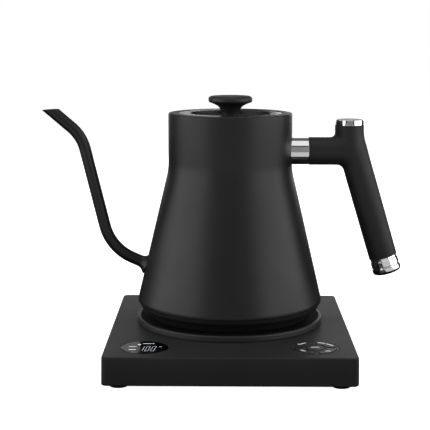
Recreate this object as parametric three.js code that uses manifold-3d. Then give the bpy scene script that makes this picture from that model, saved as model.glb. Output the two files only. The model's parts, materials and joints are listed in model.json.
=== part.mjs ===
// Gooseneck electric kettle on a square power base with a round display and a round keypad.
// Millimetres, +Z up, floor at z = 0. The spout points to -X, the handle to +X, the controls
// to -Y. Sizes are set out from the kettle's upright axis, and heights of the kettle from the top
// of the disc that it stands on. The whole set is then moved so that its origin lies under the
// middle of its outer box.

import * as THREE from 'three';
import { mergeVertices } from 'three/addons/utils/BufferGeometryUtils.js';
import Module from 'manifold-3d';

const wasm = await Module();
wasm.setup();

// ---------------------------------------------------------------- driving dimensions

const ORIGIN_SHIFT = { x: 5, y: 12.4 };     // from the middle of the outer box to the kettle axis
const GAP = 0.3;                            // between two pieces that touch
const RUN_GAP = 0.5;                        // between two pieces that slide past each other

// Power base
const FOOT_HEIGHT = 2.6;
const FOOT_RADIUS = 6.4;
const FOOT_ROUND = 0.5;
const FOOT_INSET = { x: 11, y: 10.7 };      // foot centre from the base's side and front or back
const BASE_WIDTH = 170;
const BASE_DEPTH = 184.2;
const BASE_HEIGHT = 19.5;
const BASE_CORNER = 3.3;
const BASE_EDGE = 0.8;
const BASE_WALL = 2.5;
const BASE_CENTRE_Y = -13.1;                // base middle from the kettle axis
const PLATE_THICK = 2.5;

// Boards inside the base; clear is the room left under the housing's ceiling
const BOARD_THICK = 1.6;
const CONTROL_BOARD_DROP = 4.3;             // board top under the ceiling
const POWER_BOARD = { width: 96, depth: 34, rise: 4, inset: 27 };   // inset: middle from the back
const TRANSFORMER = { width: 17, depth: 15, clear: 0.7, x: -28 };
const RELAY = { width: 19, depth: 15.5, clear: 0.4, x: 4 };
const BUZZER = { radius: 6, height: 5, x: 32 };

// Raised disc that the kettle stands on, and the round connector in its middle
const DISC_RADIUS = 67.6;
const DISC_HEIGHT = 4.5;
const DISC_EDGE = 1;
const SPIGOT_WALL = 5;                      // of the disc's spigot through the housing
const TOWER_RADIUS = 13.5;
const TOWER_ROUND = 0.8;
const TOWER_FLANGE = { reach: 5, thick: 2.8 };   // reach beyond the disc's spigot
const TOWER_RISE = 10.8;                    // above the disc
const TOWER_WALL = 3.2;
const TOWER_SLOT = 4;
const TOWER_PIN_RADIUS = 1.9;
const CONTACT_THICK = 0.8;
const CONTACT_DROP = { pin: 1, ring: 2 };   // contact tops under the tower's top
const PIN_TAIL = 3;

// Display and keypad
const DIAL_RADIUS = 16;
const DIAL_MARGIN = { x: 11.5, y: 9.7 };    // from the dial's edge to the base's side and front
const DIAL_FLANGE = 2.5;
const WINDOW_THICK = 1.8;
const HOLDER_WALL = 1.5;
const PANEL_THICK = 1.8;
const PANEL_MARGIN = { x: 5, y: 8 };        // from the dial's edge to the panel's sides
const BEZEL_RIM = 1.2;
const BEZEL_RIB = 2.5;
const BEZEL_RING = 1.1;
const BEZEL_FLANGE_THICK = 1.3;
const CENTRE_KEY_RADIUS = 6.2;
const KEY_PROUD = 0.3;
const KEY_FLANGE = 0.8;
const CENTRE_KEY_FLANGE = 0.5;
const KEY_FLANGE_THICK = 1;
const MAT_THICK = 1;
const DOME = { foot: 2.6, top: 1.5, height: 1.1 };

// Kettle body
const BODY_WALL = 1;
const BODY_TOP = 148;
const NECK_RADIUS = 44.65;
const NECK_LENGTH = 40.4;                   // down to where cone and neck would meet
const NECK_BLEND = 6;
const BODY_RADIUS = 67.1;
const BODY_BOTTOM = 10.6;
const BODY_TURN = 4;                        // height of the turned-in bottom edge
const BODY_HEM = { inward: 1.4, up: 1.2 };  // rounding of the bottom edge
const BODY_EDGE = 1;
const MOUTH_RADIUS = 37.3;
const MOUTH_EDGE = 0.4;
const SEAT_DEPTH = 3.4;
const WELL_RADIUS = 35.6;
const WELL_DEPTH = 11.6;

// Kettle floor and underside
const FLOOR_HEIGHT = 16.4;                  // top of the heater plate
const FLOOR_THICK = 1;
const SKIRT_RISE = 1.4;                     // bottom of the heater plate's skirt over the body's edge
const DIFFUSER_RADIUS = 47;
const DIFFUSER_THICK = 1.5;
const ELEMENT_CLEAR = 1;                     // from the thermal cutout to the heating element
const ELEMENT_RADIUS = 3.2;
const ELEMENT_OPENING = Math.PI / 3;
const TERMINAL = { radius: 1.6, length: 7 };
const COVER_THICK = 2;
const COVER_RADIUS = 65.3;
const COVER_FOOT_RADIUS = 61.8;
const COVER_CURVE = { inward: 1, up: 2 };   // control point of the cover's rounded side
const COUPLER_WALL = 5.5;
const COUPLER_HEADROOM = 0.7;
const COUPLER_LEAD_IN = 1;
const SLEEVE_START = 3;                     // the coupler's middle sleeve starts this far up
const SEAL_WIDTH = 2;
const SEAL_HEIGHT = 3;
const SEAL_LIFT = 0.4;
const COVER_SCREW_RING = 53;
const COVER_SCREW_RECESS = 2;
const COVER_BOSS_WALL = 1.6;
const PROBE = { clear: 7, radius: 2.5, tip: 1.5, top: 25.4, bottom: 5.4 };   // clear of the coupler
const PROBE_SEAL = { wall: 1.2, lip: 2.4, tail: 0.5, edge: 1.2, height: 1.6 };
const PROBE_ROOM = 3.5;                     // around the probe through the diffuser plate
const CUTOUT = { clear: 1.3, radius: 7.5, thick: 5, bearing: 1.25 * Math.PI };   // clear of the coupler

// Spout, a bent tube in the plane y = 0: start, the two corners and end of its centre line
const SPOUT_RADIUS = 4.3;
const SPOUT_WALL = 0.9;
const SPOUT_START = { x: -48, z: 31.48 };
const SPOUT_CORNERS = [{ x: -87.28, z: 48.58, bend: 35 }, { x: -107.26, z: 130.77, bend: 30 }];
const SPOUT_END = { x: -138, z: 157.1 };
const SPOUT_LIP = { x: -129.5, z: 150, tilt: 3.6 };   // the cut across the tip, in degrees

// Handle, in the plane y = 0
const ARM_DROP = 27.5;                      // arm's middle under the body's top
const ARM_RADIUS = 10.05;
const COLLAR_RADIUS = 9.7;
const COLLAR_END = 56.6;
const COLLAR_WALL = 1.3;
const COLLAR_END_WALL = 1.6;
const STUD_RADIUS = 3;
const STUD_END = 80;
const STUD_FLANGE = 3.2;
const UPRIGHT_X = 85.9;
const UPRIGHT_RISE = 18.7;                  // over the arm's middle
const GRIP_RADIUS = 10.3;
const GRIP_CORNER_RISE = 9.7;
const GRIP_BEND = 45;
const GRIP_REACH = { out: 26.3, down: 77 }; // of the grip's end from the upright and the arm
const CAP_THICK = 3.9;
const CAP_EDGE = 0.6;
const CAP_SPIGOT_RADIUS = 5;
const CAP_SPIGOT_LENGTH = 8;
const WEIGHT_LENGTH = 12.3;
const WEIGHT_RADIUS = 10.4;
const WEIGHT_ROUND = 2.4;
const WEIGHT_FLOOR = 3;
const WEIGHT_GROOVE = { depth: 0.8, slope: 0.4 };
const WEIGHT_BANDS = { upperTop: 2.2, upperBottom: 6.4, upperInset: 0.4, lowerTop: 7.6 };
const WEIGHT_STUD_TOP = 17;

// Lid
const LID_BELOW_RIM = 0.1;
const LID_SHEET = 1;
const LID_LIP = 3;
const LID_EDGE = 0.4;
const DISH_RADIUS = 29.2;
const DISH_DEPTH = 4;
const DISH_ROUND = 0.6;
const PLUG_RADIUS = 34.3;
const PLUG_WALL = 1.6;
const PLUG_DEPTH = 7.7;
const PLUG_FLOOR = 2.6;
const PLUG_BOSS = 7;
const PLUG_EDGE = 0.6;
const GASKET_HEIGHT = 1.8;
const GASKET_RISE = 3;                      // groove over the plug's bottom
const GASKET_SEAT = 1;                      // groove depth
const WASHER = { thick: 0.5, reach: 1.2 };

// Knob; stem is the straight part over its foot, the rest are depths under its top
const KNOB_RADIUS = 15.8;
const KNOB_RISE = 12.1;                     // over the lid
const KNOB_FOOT_RADIUS = 6.3;
const KNOB_STEM = 2.4;
const KNOB_FLARE = 7.5;
const KNOB_UNDERSIDE = 4.8;
const KNOB_RIM = { lower: 4, upper: 2.6 };
const KNOB_TOP_EDGE = { inward: 2.4, down: 1.6 };
const KNOB_BORE_ROOF = 5;
const KNOB_SCREW = { radius: 2, head: 4 };

// Screws
const SCREW_RADIUS = 1.5;
const SCREW_HEAD_RADIUS = 2.8;
const SCREW_HEAD_THICK = 1.6;
const SCREW_SOCKET = 0.45;                  // socket's radius as a share of the head's
const BASE_SCREW_LENGTH = 13;
const BOSS_RADIUS = 3.5;
const BOSS_FOOT_WALL = 1.5;
const BOSS_FOOT_RISE = 1.8;

// Cord gland in the back wall, bored for a lead that is not modelled
const GLAND = { x: 0, bore: 3.6, radius: 5.6, flange: 7.2, proud: 1.2, inside: 8 };

// ---------------------------------------------------------------- heights worked out from them

const baseBottom = FOOT_HEIGHT;
const baseTop = baseBottom + BASE_HEIGHT;
const baseCeiling = baseTop - BASE_WALL;
const baseFront = BASE_CENTRE_Y - BASE_DEPTH / 2;
const baseBack = BASE_CENTRE_Y + BASE_DEPTH / 2;
const plateTop = baseBottom + PLATE_THICK;
const discTop = baseTop + DISC_HEIGHT;
const towerTop = discTop + TOWER_RISE;
const spigotRadius = TOWER_RADIUS + RUN_GAP + SPIGOT_WALL;
const flangeTop = baseCeiling - GAP;
const controlBoardTop = baseCeiling - CONTROL_BOARD_DROP;
const powerBoardTop = plateTop + POWER_BOARD.rise;
const dialReach = DIAL_RADIUS + DIAL_FLANGE;
const dialX = BASE_WIDTH / 2 - DIAL_MARGIN.x - DIAL_RADIUS;
const dialY = baseFront + DIAL_MARGIN.y + DIAL_RADIUS;

// From here on, heights are over the disc's top.
const coverBottom = GAP;
const couplerBore = TOWER_RADIUS + RUN_GAP;
const couplerRadius = couplerBore + COUPLER_WALL;
const coverHole = couplerRadius + SEAL_WIDTH + 2 * GAP;
const cutoutReach = couplerRadius + CUTOUT.clear + CUTOUT.radius;
const elementRing = cutoutReach + CUTOUT.radius + ELEMENT_CLEAR + ELEMENT_RADIUS;
const floorUnder = FLOOR_HEIGHT - FLOOR_THICK;
const diffuserUnder = floorUnder - GAP - DIFFUSER_THICK;
const neckStart = BODY_TOP - NECK_LENGTH;
const seatHeight = BODY_TOP - SEAT_DEPTH;
const lidTop = BODY_TOP - LID_BELOW_RIM;
const knobTop = lidTop + KNOB_RISE;
const dishFloor = lidTop - DISH_DEPTH;
const plugTop = dishFloor - LID_SHEET - GAP;
const coneSlope = (BODY_RADIUS - NECK_RADIUS) / (neckStart - BODY_BOTTOM - BODY_TURN / 2);
const armHeight = BODY_TOP - ARM_DROP;
const uprightTop = armHeight + UPRIGHT_RISE;
const gripCorner = { x: UPRIGHT_X, z: armHeight + GRIP_CORNER_RISE, bend: GRIP_BEND };
const gripEnd = { x: UPRIGHT_X + GRIP_REACH.out, z: armHeight - GRIP_REACH.down };
const gripLean = Math.atan2(gripEnd.x - gripCorner.x, gripCorner.z - gripEnd.z);

// ---------------------------------------------------------------- finishes

const finish = (color, roughness, metalness) => ({ color, roughness, metalness });
const FINISHES = {
  blackPlastic: finish(0x1b1b1c, 0.45, 0),
  blackPaint: finish(0x1e1e1f, 0.4, 0.2),
  gloss: finish(0x070708, 0.08, 0),
  keys: finish(0x0e0e0f, 0.5, 0),
  chrome: finish(0xd8d8da, 0.08, 1),
  steel: finish(0xb8b8ba, 0.3, 1),
  aluminium: finish(0xc4c5c8, 0.4, 1),
  brass: finish(0xc9a24b, 0.3, 1),
  rubber: finish(0x151515, 0.85, 0),
  silicone: finish(0xcfcfcc, 0.7, 0),
  board: finish(0x1f5a33, 0.55, 0),
  darkPlastic: finish(0x2b2b2d, 0.6, 0),
};

// ---------------------------------------------------------------- making solids

// A closed surface as a solid, with shared vertices joined and collapsed triangles left out.
function solid(geometry) {
  const bare = geometry.index ? geometry.toNonIndexed() : geometry.clone();
  bare.deleteAttribute('normal');
  bare.deleteAttribute('uv');
  const joined = mergeVertices(bare, 1e-4);
  const corners = joined.index.array;
  const triVerts = [];
  for (let i = 0; i < corners.length; i += 3) {
    const [a, b, c] = corners.slice(i, i + 3);
    if (a !== b && b !== c && c !== a) triVerts.push(a, b, c);
  }
  return new wasm.Manifold(new wasm.Mesh({
    numProp: 3,
    vertProperties: new Float32Array(joined.attributes.position.array),
    triVerts: Uint32Array.from(triVerts),
  }));
}

// Turns an outline of [radius, height] points, listed anticlockwise, about the Z axis.
function turned(outline, sides = 40) {
  const points = outline.map(([r, z]) => new THREE.Vector2(r, z));
  if (outline[0][0] > 0) points.push(points[0].clone());
  return solid(new THREE.LatheGeometry(points, sides).rotateX(Math.PI / 2));
}

// An upright ring, or a disc when the inner radius is 0.
function ring(inner, outer, bottom, top, sides = 32) {
  return turned([[inner, bottom], [outer, bottom], [outer, top], [inner, top]], sides);
}

const disc = (radius, bottom, top, sides = 20) => ring(0, radius, bottom, top, sides);

function moved(part, x, y, z = 0) {
  return part.transform(new THREE.Matrix4().makeTranslation(x, y, z).elements);
}

// Lays an upright solid along +X at the given height.
function laidAlongX(part, height) {
  const turn = new THREE.Matrix4().makeRotationY(Math.PI / 2);
  return part.transform(turn.premultiply(new THREE.Matrix4().makeTranslation(0, 0, height)).elements);
}

function block(width, depth, height, x, y, z) {
  return solid(new THREE.BoxGeometry(width, depth, height).translate(x, y, z));
}

function roundedRectangle(width, depth, corner) {
  const [x, y] = [width / 2, depth / 2];
  const shape = new THREE.Shape();
  shape.absarc(x - corner, y - corner, corner, 0, Math.PI / 2);
  shape.absarc(corner - x, y - corner, corner, Math.PI / 2, Math.PI);
  shape.absarc(corner - x, corner - y, corner, Math.PI, 1.5 * Math.PI);
  shape.absarc(x - corner, corner - y, corner, 1.5 * Math.PI, 2 * Math.PI);
  return shape;
}

// Pulls a flat shape up from one height to another, with edges rounded by the given amount.
function pulled(shape, bottom, top, edge = 0, curveSegments = 2) {
  const geometry = new THREE.ExtrudeGeometry(shape, {
    depth: top - bottom - 2 * edge,
    bevelEnabled: edge > 0,
    bevelThickness: edge,
    bevelSize: edge,
    bevelOffset: -edge,
    bevelSegments: 1,
    curveSegments,
  });
  return solid(geometry.translate(0, 0, bottom + edge));
}

function circle(radius) {
  return new THREE.Shape().absarc(0, 0, radius, 0, 2 * Math.PI);
}

// A route through chosen points, sampled exactly at them.
class Route extends THREE.Curve {
  constructor(points) {
    super();
    this.points = points;
  }

  getPoint(t, target = new THREE.Vector3()) {
    const place = t * (this.points.length - 1);
    const i = Math.min(Math.floor(place), this.points.length - 2);
    return target.lerpVectors(this.points[i], this.points[i + 1], place - i);
  }

  getUtoTmapping(u) {
    return u;
  }
}

// A centre line in the plane y = 0 whose corners are rounded to their bend radius.
function bentRoute(start, corners, end, stepsPerBend = 5) {
  const at = ({ x, z }) => new THREE.Vector3(x, 0, z);
  const stops = [start, ...corners, end].map(at);
  const points = [stops[0]];
  corners.forEach(({ bend }, i) => {
    const corner = stops[i + 1];
    const back = stops[i].clone().sub(corner).normalize();
    const ahead = stops[i + 2].clone().sub(corner).normalize();
    const half = back.angleTo(ahead) / 2;
    const centre = corner.clone().addScaledVector(back.clone().add(ahead).normalize(), bend / Math.sin(half));
    const reach = bend / Math.tan(half);
    const from = corner.clone().addScaledVector(back, reach).sub(centre);
    const to = corner.clone().addScaledVector(ahead, reach).sub(centre);
    const sweep = from.angleTo(to);
    for (let step = 0; step <= stepsPerBend; step += 1) {
      const part = step / stepsPerBend;
      const arm = from.clone().multiplyScalar(Math.sin((1 - part) * sweep) / Math.sin(sweep));
      points.push(arm.addScaledVector(to, Math.sin(part * sweep) / Math.sin(sweep)).add(centre));
    }
  });
  points.push(stops.at(-1));
  return new Route(points);
}

function rodAlong(route, radius, sides) {
  const geometry = new THREE.ExtrudeGeometry(circle(radius), {
    steps: route.points.length - 1,
    extrudePath: route,
    curveSegments: sides / 2,
  });
  return solid(geometry);
}

// Points on a quarter-like curve from one outline point to another, pulled towards a corner.
function eased(from, corner, to, steps = 3) {
  const curve = new THREE.QuadraticBezierCurve(...[from, corner, to].map((p) => new THREE.Vector2(...p)));
  return curve.getPoints(steps).map(({ x, y }) => [x, y]);
}

// Turns a solid into a named mesh.
function piece(name, part, finishName) {
  const { vertProperties, triVerts, numProp } = part.getMesh();
  const corners = new Float32Array(triVerts.length * 3);
  triVerts.forEach((vertex, i) => {
    corners.set(vertProperties.subarray(vertex * numProp, vertex * numProp + 3), i * 3);
  });
  const geometry = new THREE.BufferGeometry();
  geometry.setAttribute('position', new THREE.BufferAttribute(corners, 3));
  const joined = mergeVertices(geometry, 1e-4);
  joined.computeVertexNormals();
  const mesh = new THREE.Mesh(joined, new THREE.MeshStandardMaterial(FINISHES[finishName]));
  mesh.name = name;
  return mesh;
}

// ---------------------------------------------------------------- power base

const corners = [
  { name: 'front_left', sx: -1, sy: -1 },
  { name: 'front_right', sx: 1, sy: -1 },
  { name: 'rear_left', sx: -1, sy: 1 },
  { name: 'rear_right', sx: 1, sy: 1 },
].map(({ name, sx, sy }) => ({
  name,
  x: sx * (BASE_WIDTH / 2 - FOOT_INSET.x),
  y: BASE_CENTRE_Y + sy * (BASE_DEPTH / 2 - FOOT_INSET.y),
}));
const screwBossBottom = plateTop + BOSS_FOOT_RISE;
const screwHoleRadius = SCREW_RADIUS + GAP;

function slab(inset, bottom, top, edge = 0) {
  const corner = Math.max(BASE_CORNER - inset, 1);
  const shape = roundedRectangle(BASE_WIDTH - 2 * inset, BASE_DEPTH - 2 * inset, corner);
  return moved(pulled(shape, bottom, top, edge), 0, BASE_CENTRE_Y);
}

function gland(radius, from, to) {
  const turn = new THREE.Matrix4().makeRotationX(-Math.PI / 2);
  const height = (plateTop + baseCeiling) / 2;
  turn.premultiply(new THREE.Matrix4().makeTranslation(GLAND.x, baseBack, height));
  return disc(radius, from, to, 24).transform(turn.elements);
}

function baseHousing() {
  let shell = slab(0, baseBottom, baseTop, BASE_EDGE);
  shell = shell.subtract(slab(BASE_WALL, baseBottom - 1, baseCeiling));
  for (const { x, y } of corners) {
    shell = shell.add(moved(disc(BOSS_RADIUS, screwBossBottom, baseCeiling + 1, 12), x, y));
    shell = shell.subtract(moved(disc(screwHoleRadius, screwBossBottom - 1, baseCeiling - 2, 8), x, y));
  }
  shell = shell.subtract(disc(spigotRadius + GAP, baseCeiling - 1, baseTop + 1, 32));
  const dialHole = disc(DIAL_RADIUS + GAP, baseCeiling - 1, baseTop + 1, 32);
  for (const side of [-1, 1]) shell = shell.subtract(moved(dialHole, side * dialX, dialY));
  return shell.subtract(gland(GLAND.radius + GAP, -BASE_WALL - 1, 1));
}

function basePlate() {
  let plate = slab(BASE_WALL + GAP, baseBottom, plateTop);
  for (const { x, y } of corners) {
    const boss = disc(BOSS_RADIUS + BOSS_FOOT_WALL, plateTop - 1, screwBossBottom - GAP, 12);
    plate = plate.add(moved(boss, x, y));
    plate = plate.subtract(moved(disc(SCREW_HEAD_RADIUS + GAP, baseBottom - 1, plateTop - GAP, 12), x, y));
    plate = plate.subtract(moved(disc(screwHoleRadius, baseBottom, screwBossBottom, 8), x, y));
  }
  return plate;
}

function restDisc() {
  const bottom = baseTop + GAP;
  const bore = TOWER_RADIUS + RUN_GAP;
  return turned([
    [bore, baseCeiling], [spigotRadius, baseCeiling], [spigotRadius, bottom], [DISC_RADIUS, bottom],
    ...eased([DISC_RADIUS, discTop - DISC_EDGE], [DISC_RADIUS, discTop],
      [DISC_RADIUS - DISC_EDGE, discTop], 2),
    [bore, discTop],
  ]);
}

const slotOuter = TOWER_RADIUS - TOWER_WALL;
const slotInner = slotOuter - TOWER_SLOT;
const slotFloor = flangeTop - TOWER_FLANGE.thick / 4;
const flangeBottom = flangeTop - TOWER_FLANGE.thick;
const flangeRadius = spigotRadius + TOWER_FLANGE.reach;

function connectorTower() {
  const bore = TOWER_PIN_RADIUS + GAP;
  return turned([
    [bore, flangeBottom], [flangeRadius, flangeBottom], [flangeRadius, flangeTop], [TOWER_RADIUS, flangeTop],
    [TOWER_RADIUS, towerTop - TOWER_ROUND], [TOWER_RADIUS - TOWER_ROUND, towerTop], [slotOuter, towerTop],
    [slotOuter, slotFloor], [slotInner, slotFloor], [slotInner, towerTop], [bore, towerTop],
  ], 24);
}

function screw(length, radius = SCREW_RADIUS, headRadius = SCREW_HEAD_RADIUS, headThick = SCREW_HEAD_THICK) {
  const socket = new THREE.Shape();
  for (let i = 0; i < 6; i += 1) {
    const angle = (i * Math.PI) / 3;
    const [x, y] = [Math.cos(angle), Math.sin(angle)].map((share) => share * headRadius * SCREW_SOCKET);
    if (i) socket.lineTo(x, y);
    else socket.moveTo(x, y);
  }
  const body = turned([[0, 0], [headRadius, 0], [headRadius, headThick], [radius, headThick],
    [radius, length], [0, length]], 8);
  return body.subtract(pulled(socket, -1, headThick / 2));
}

function displayParts() {
  const bottom = controlBoardTop + GAP;
  const inside = DIAL_RADIUS - HOLDER_WALL;
  const holderFloor = controlBoardTop + HOLDER_WALL;
  const holder = turned([
    [0, bottom], [dialReach, bottom], [dialReach, flangeTop], [inside, flangeTop],
    [inside, holderFloor], [0, holderFloor],
  ], 24);
  const [width, depth] = [DIAL_RADIUS - PANEL_MARGIN.x, DIAL_RADIUS - PANEL_MARGIN.y].map((half) => 2 * half);
  const panel = block(width, depth, PANEL_THICK, 0, 0, holderFloor + GAP + PANEL_THICK / 2);
  return [
    piece('display_window', disc(DIAL_RADIUS, baseTop - WINDOW_THICK, baseTop, 32), 'gloss'),
    piece('display_holder', holder, 'darkPlastic'),
    piece('display_panel', panel, 'gloss'),
  ];
}

const bezelInner = DIAL_RADIUS - BEZEL_RIM;
const centreHole = CENTRE_KEY_RADIUS + GAP;
const ringOuter = centreHole + BEZEL_RING;
const keyRoof = baseTop - WINDOW_THICK;      // underside of the bezel's face
const keyFlangeTop = keyRoof - GAP;

function keypadBezel() {
  const foot = flangeTop - BEZEL_FLANGE_THICK;
  let bezel = turned([
    [bezelInner, foot], [dialReach, foot], [dialReach, flangeTop],
    [DIAL_RADIUS, flangeTop], [DIAL_RADIUS, baseTop], [bezelInner, baseTop],
  ], 32);
  bezel = bezel.add(ring(centreHole, ringOuter, keyRoof, baseTop, 24));
  const ribLength = bezelInner - ringOuter + 1;
  const ribMiddle = (bezelInner + ringOuter) / 2;
  const ribHeight = baseTop - keyRoof;
  for (const side of [-1, 1]) {
    bezel = bezel.add(block(ribLength, BEZEL_RIB, ribHeight, side * ribMiddle, 0, keyRoof + ribHeight / 2));
    bezel = bezel.add(block(BEZEL_RIB, ribLength, ribHeight, 0, side * ribMiddle, keyRoof + ribHeight / 2));
  }
  return bezel;
}

// A quarter of a ring, kept clear of the cross between its neighbours.
function quarterRing(inner, outer, clear) {
  const shape = new THREE.Shape();
  const outerTurn = Math.asin(clear / outer);
  const innerTurn = Math.asin(clear / inner);
  shape.absarc(0, 0, outer, outerTurn, Math.PI / 2 - outerTurn);
  shape.absarc(0, 0, inner, Math.PI / 2 - innerTurn, innerTurn, true);
  return shape;
}

function quarterKey() {
  const clear = BEZEL_RIB / 2 + GAP;
  const [inner, outer] = [ringOuter + GAP, bezelInner - GAP];
  const stemBottom = keyFlangeTop - KEY_FLANGE_THICK / 2;
  const top = pulled(quarterRing(inner, outer, clear), stemBottom, baseTop + KEY_PROUD, 0, 3);
  const flange = quarterRing(inner - KEY_FLANGE / 2, outer, clear - KEY_FLANGE);
  return top.add(pulled(flange, keyFlangeTop - KEY_FLANGE_THICK, keyFlangeTop, 0, 3));
}

function centreKey() {
  return disc(CENTRE_KEY_RADIUS, keyFlangeTop - KEY_FLANGE_THICK / 2, baseTop + KEY_PROUD)
    .add(disc(CENTRE_KEY_RADIUS + CENTRE_KEY_FLANGE, keyFlangeTop - KEY_FLANGE_THICK, keyFlangeTop));
}

function keyDomeMat() {
  const bottom = controlBoardTop + GAP;
  const matTop = bottom + MAT_THICK;
  const domeTop = matTop + DOME.height;
  const dome = turned([[0, bottom], [DOME.foot, bottom], [DOME.foot, matTop], [DOME.top, domeTop],
    [0, domeTop]], 8);
  const reach = (ringOuter + bezelInner) / 2 / Math.SQRT2;
  let mat = disc(bezelInner - 2 * GAP, bottom, matTop);
  for (const [x, y] of [[0, 0], [reach, reach], [-reach, reach], [-reach, -reach], [reach, -reach]]) {
    mat = mat.add(moved(dome, x, y));
  }
  return mat;
}

function controlBoard() {
  const width = 2 * (dialX + dialReach);
  let board = block(width, 2 * dialReach, BOARD_THICK, 0, dialY, controlBoardTop - BOARD_THICK / 2);
  for (const { x, y } of corners) {
    board = board.subtract(moved(disc(BOSS_RADIUS + 1, 0, baseTop, 16), x, y));
  }
  return board;
}

function basePieces() {
  const group = new THREE.Group();
  const contactPin = disc(TOWER_PIN_RADIUS, flangeBottom - PIN_TAIL, towerTop - CONTACT_DROP.pin, 16);
  group.add(
    piece('base_housing', baseHousing(), 'blackPlastic'),
    piece('base_bottom_plate', basePlate(), 'darkPlastic'),
    piece('rest_disc', restDisc(), 'blackPlastic'),
    piece('connector_tower', connectorTower(), 'darkPlastic'),
    piece('contact_pin', contactPin, 'brass'),
    piece('contact_ring_outer', ring(slotOuter - GAP - CONTACT_THICK, slotOuter - GAP,
      slotFloor + GAP, towerTop - CONTACT_DROP.ring, 24), 'brass'),
    piece('contact_ring_inner', ring(slotInner + GAP, slotInner + GAP + CONTACT_THICK,
      slotFloor + GAP, towerTop - CONTACT_DROP.ring, 24), 'brass'),
    piece('control_board', controlBoard(), 'board'),
  );

  const powerY = baseBack - POWER_BOARD.inset;
  const onBoard = powerBoardTop + GAP;
  const powerBoard = block(POWER_BOARD.width, POWER_BOARD.depth, BOARD_THICK, 0, powerY,
    powerBoardTop - BOARD_THICK / 2);
  group.add(piece('power_board', powerBoard, 'board'));
  for (const [name, part] of [['transformer', TRANSFORMER], ['power_relay', RELAY]]) {
    const height = baseCeiling - part.clear - onBoard;
    const box = block(part.width, part.depth, height, part.x, powerY, onBoard + height / 2);
    group.add(piece(name, box, 'darkPlastic'));
  }
  const buzzer = piece('buzzer', disc(BUZZER.radius, onBoard, onBoard + BUZZER.height), 'darkPlastic');
  buzzer.position.set(BUZZER.x, powerY, 0);
  group.add(buzzer);

  const sleeve = gland(GLAND.radius, -GLAND.inside, GAP + GLAND.proud);
  const flange = gland(GLAND.flange, GAP, GAP + GLAND.proud);
  const bore = gland(GLAND.bore, -GLAND.inside - 1, GLAND.proud + 1);
  group.add(piece('cord_gland', sleeve.add(flange).subtract(bore), 'rubber'));

  for (const { name, x, y } of corners) {
    const foot = turned([[0, 0], [FOOT_RADIUS - FOOT_ROUND, 0], [FOOT_RADIUS, FOOT_ROUND],
      [FOOT_RADIUS, FOOT_HEIGHT - GAP], [0, FOOT_HEIGHT - GAP]], 20);
    const footPiece = piece(`foot_${name}`, foot, 'rubber');
    const screwPiece = piece(`base_screw_${name}`, screw(BASE_SCREW_LENGTH), 'steel');
    footPiece.position.set(x, y, 0);
    screwPiece.position.set(x, y, baseBottom + GAP);
    group.add(footPiece, screwPiece);
  }

  const display = new THREE.Group();
  display.position.set(-dialX, dialY, 0);
  display.add(...displayParts());

  const keypad = new THREE.Group();
  keypad.position.set(dialX, dialY, 0);
  keypad.add(piece('keypad_bezel', keypadBezel(), 'keys'));
  keypad.add(piece('key_dome_mat', keyDomeMat(), 'silicone'));
  keypad.add(piece('key_centre', centreKey(), 'keys'));
  ['key_rear_right', 'key_rear_left', 'key_front_left', 'key_front_right'].forEach((name, i) => {
    const key = piece(name, quarterKey(), 'keys');
    key.rotation.z = (i * Math.PI) / 2;
    keypad.add(key);
  });
  group.add(display, keypad);
  return group;
}

// ---------------------------------------------------------------- kettle body and spout

// Outer radius of the cone at a height.
const coneRadius = (z) => NECK_RADIUS + (neckStart - z) * coneSlope;

// The wall's outer line from the bottom edge to the top, set off outwards by an amount.
function wallLine(offset) {
  const low = BODY_BOTTOM + BODY_TURN;
  const high = neckStart - NECK_BLEND;
  return [
    [coneRadius(low) + offset, low],
    ...eased([coneRadius(high) + offset, high], [NECK_RADIUS + offset, neckStart],
      [NECK_RADIUS + offset, neckStart + NECK_BLEND]),
  ];
}

function kettleBody() {
  const hem = coneRadius(BODY_BOTTOM + BODY_TURN) - BODY_WALL;
  let body = turned([
    [hem, BODY_BOTTOM],
    ...eased([BODY_RADIUS - BODY_HEM.inward, BODY_BOTTOM], [BODY_RADIUS, BODY_BOTTOM],
      [BODY_RADIUS, BODY_BOTTOM + BODY_HEM.up], 2),
    ...wallLine(0),
    ...eased([NECK_RADIUS, BODY_TOP - BODY_EDGE], [NECK_RADIUS, BODY_TOP],
      [NECK_RADIUS - BODY_EDGE, BODY_TOP], 2),
    [MOUTH_RADIUS + MOUTH_EDGE, BODY_TOP], [MOUTH_RADIUS, BODY_TOP - MOUTH_EDGE],
    [MOUTH_RADIUS, seatHeight], [WELL_RADIUS, seatHeight], [WELL_RADIUS, BODY_TOP - WELL_DEPTH],
    [WELL_RADIUS + BODY_WALL, BODY_TOP - WELL_DEPTH], [WELL_RADIUS + BODY_WALL, seatHeight - BODY_WALL],
    [MOUTH_RADIUS + BODY_WALL, seatHeight - BODY_WALL], [MOUTH_RADIUS + BODY_WALL, BODY_TOP - BODY_WALL],
    [NECK_RADIUS - BODY_WALL, BODY_TOP - BODY_WALL],
    ...wallLine(-BODY_WALL).reverse(),
  ]);
  const bore = rodAlong(bentRoute(SPOUT_START, [], SPOUT_CORNERS[0]), SPOUT_RADIUS - SPOUT_WALL, 12);
  return body.subtract(bore);
}

// Everything inside the body's outer face, with the touching gap added.
function bodyEnvelope() {
  return turned([[0, BODY_BOTTOM], [coneRadius(BODY_BOTTOM) + GAP, BODY_BOTTOM], ...wallLine(GAP),
    [NECK_RADIUS + GAP, BODY_TOP], [0, BODY_TOP]]);
}

// The point past the first of two points, on the line that comes from the second.
function past({ x, z }, other, distance) {
  const share = distance / Math.hypot(x - other.x, z - other.z);
  return { x: x + (x - other.x) * share, z: z + (z - other.z) * share };
}

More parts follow.
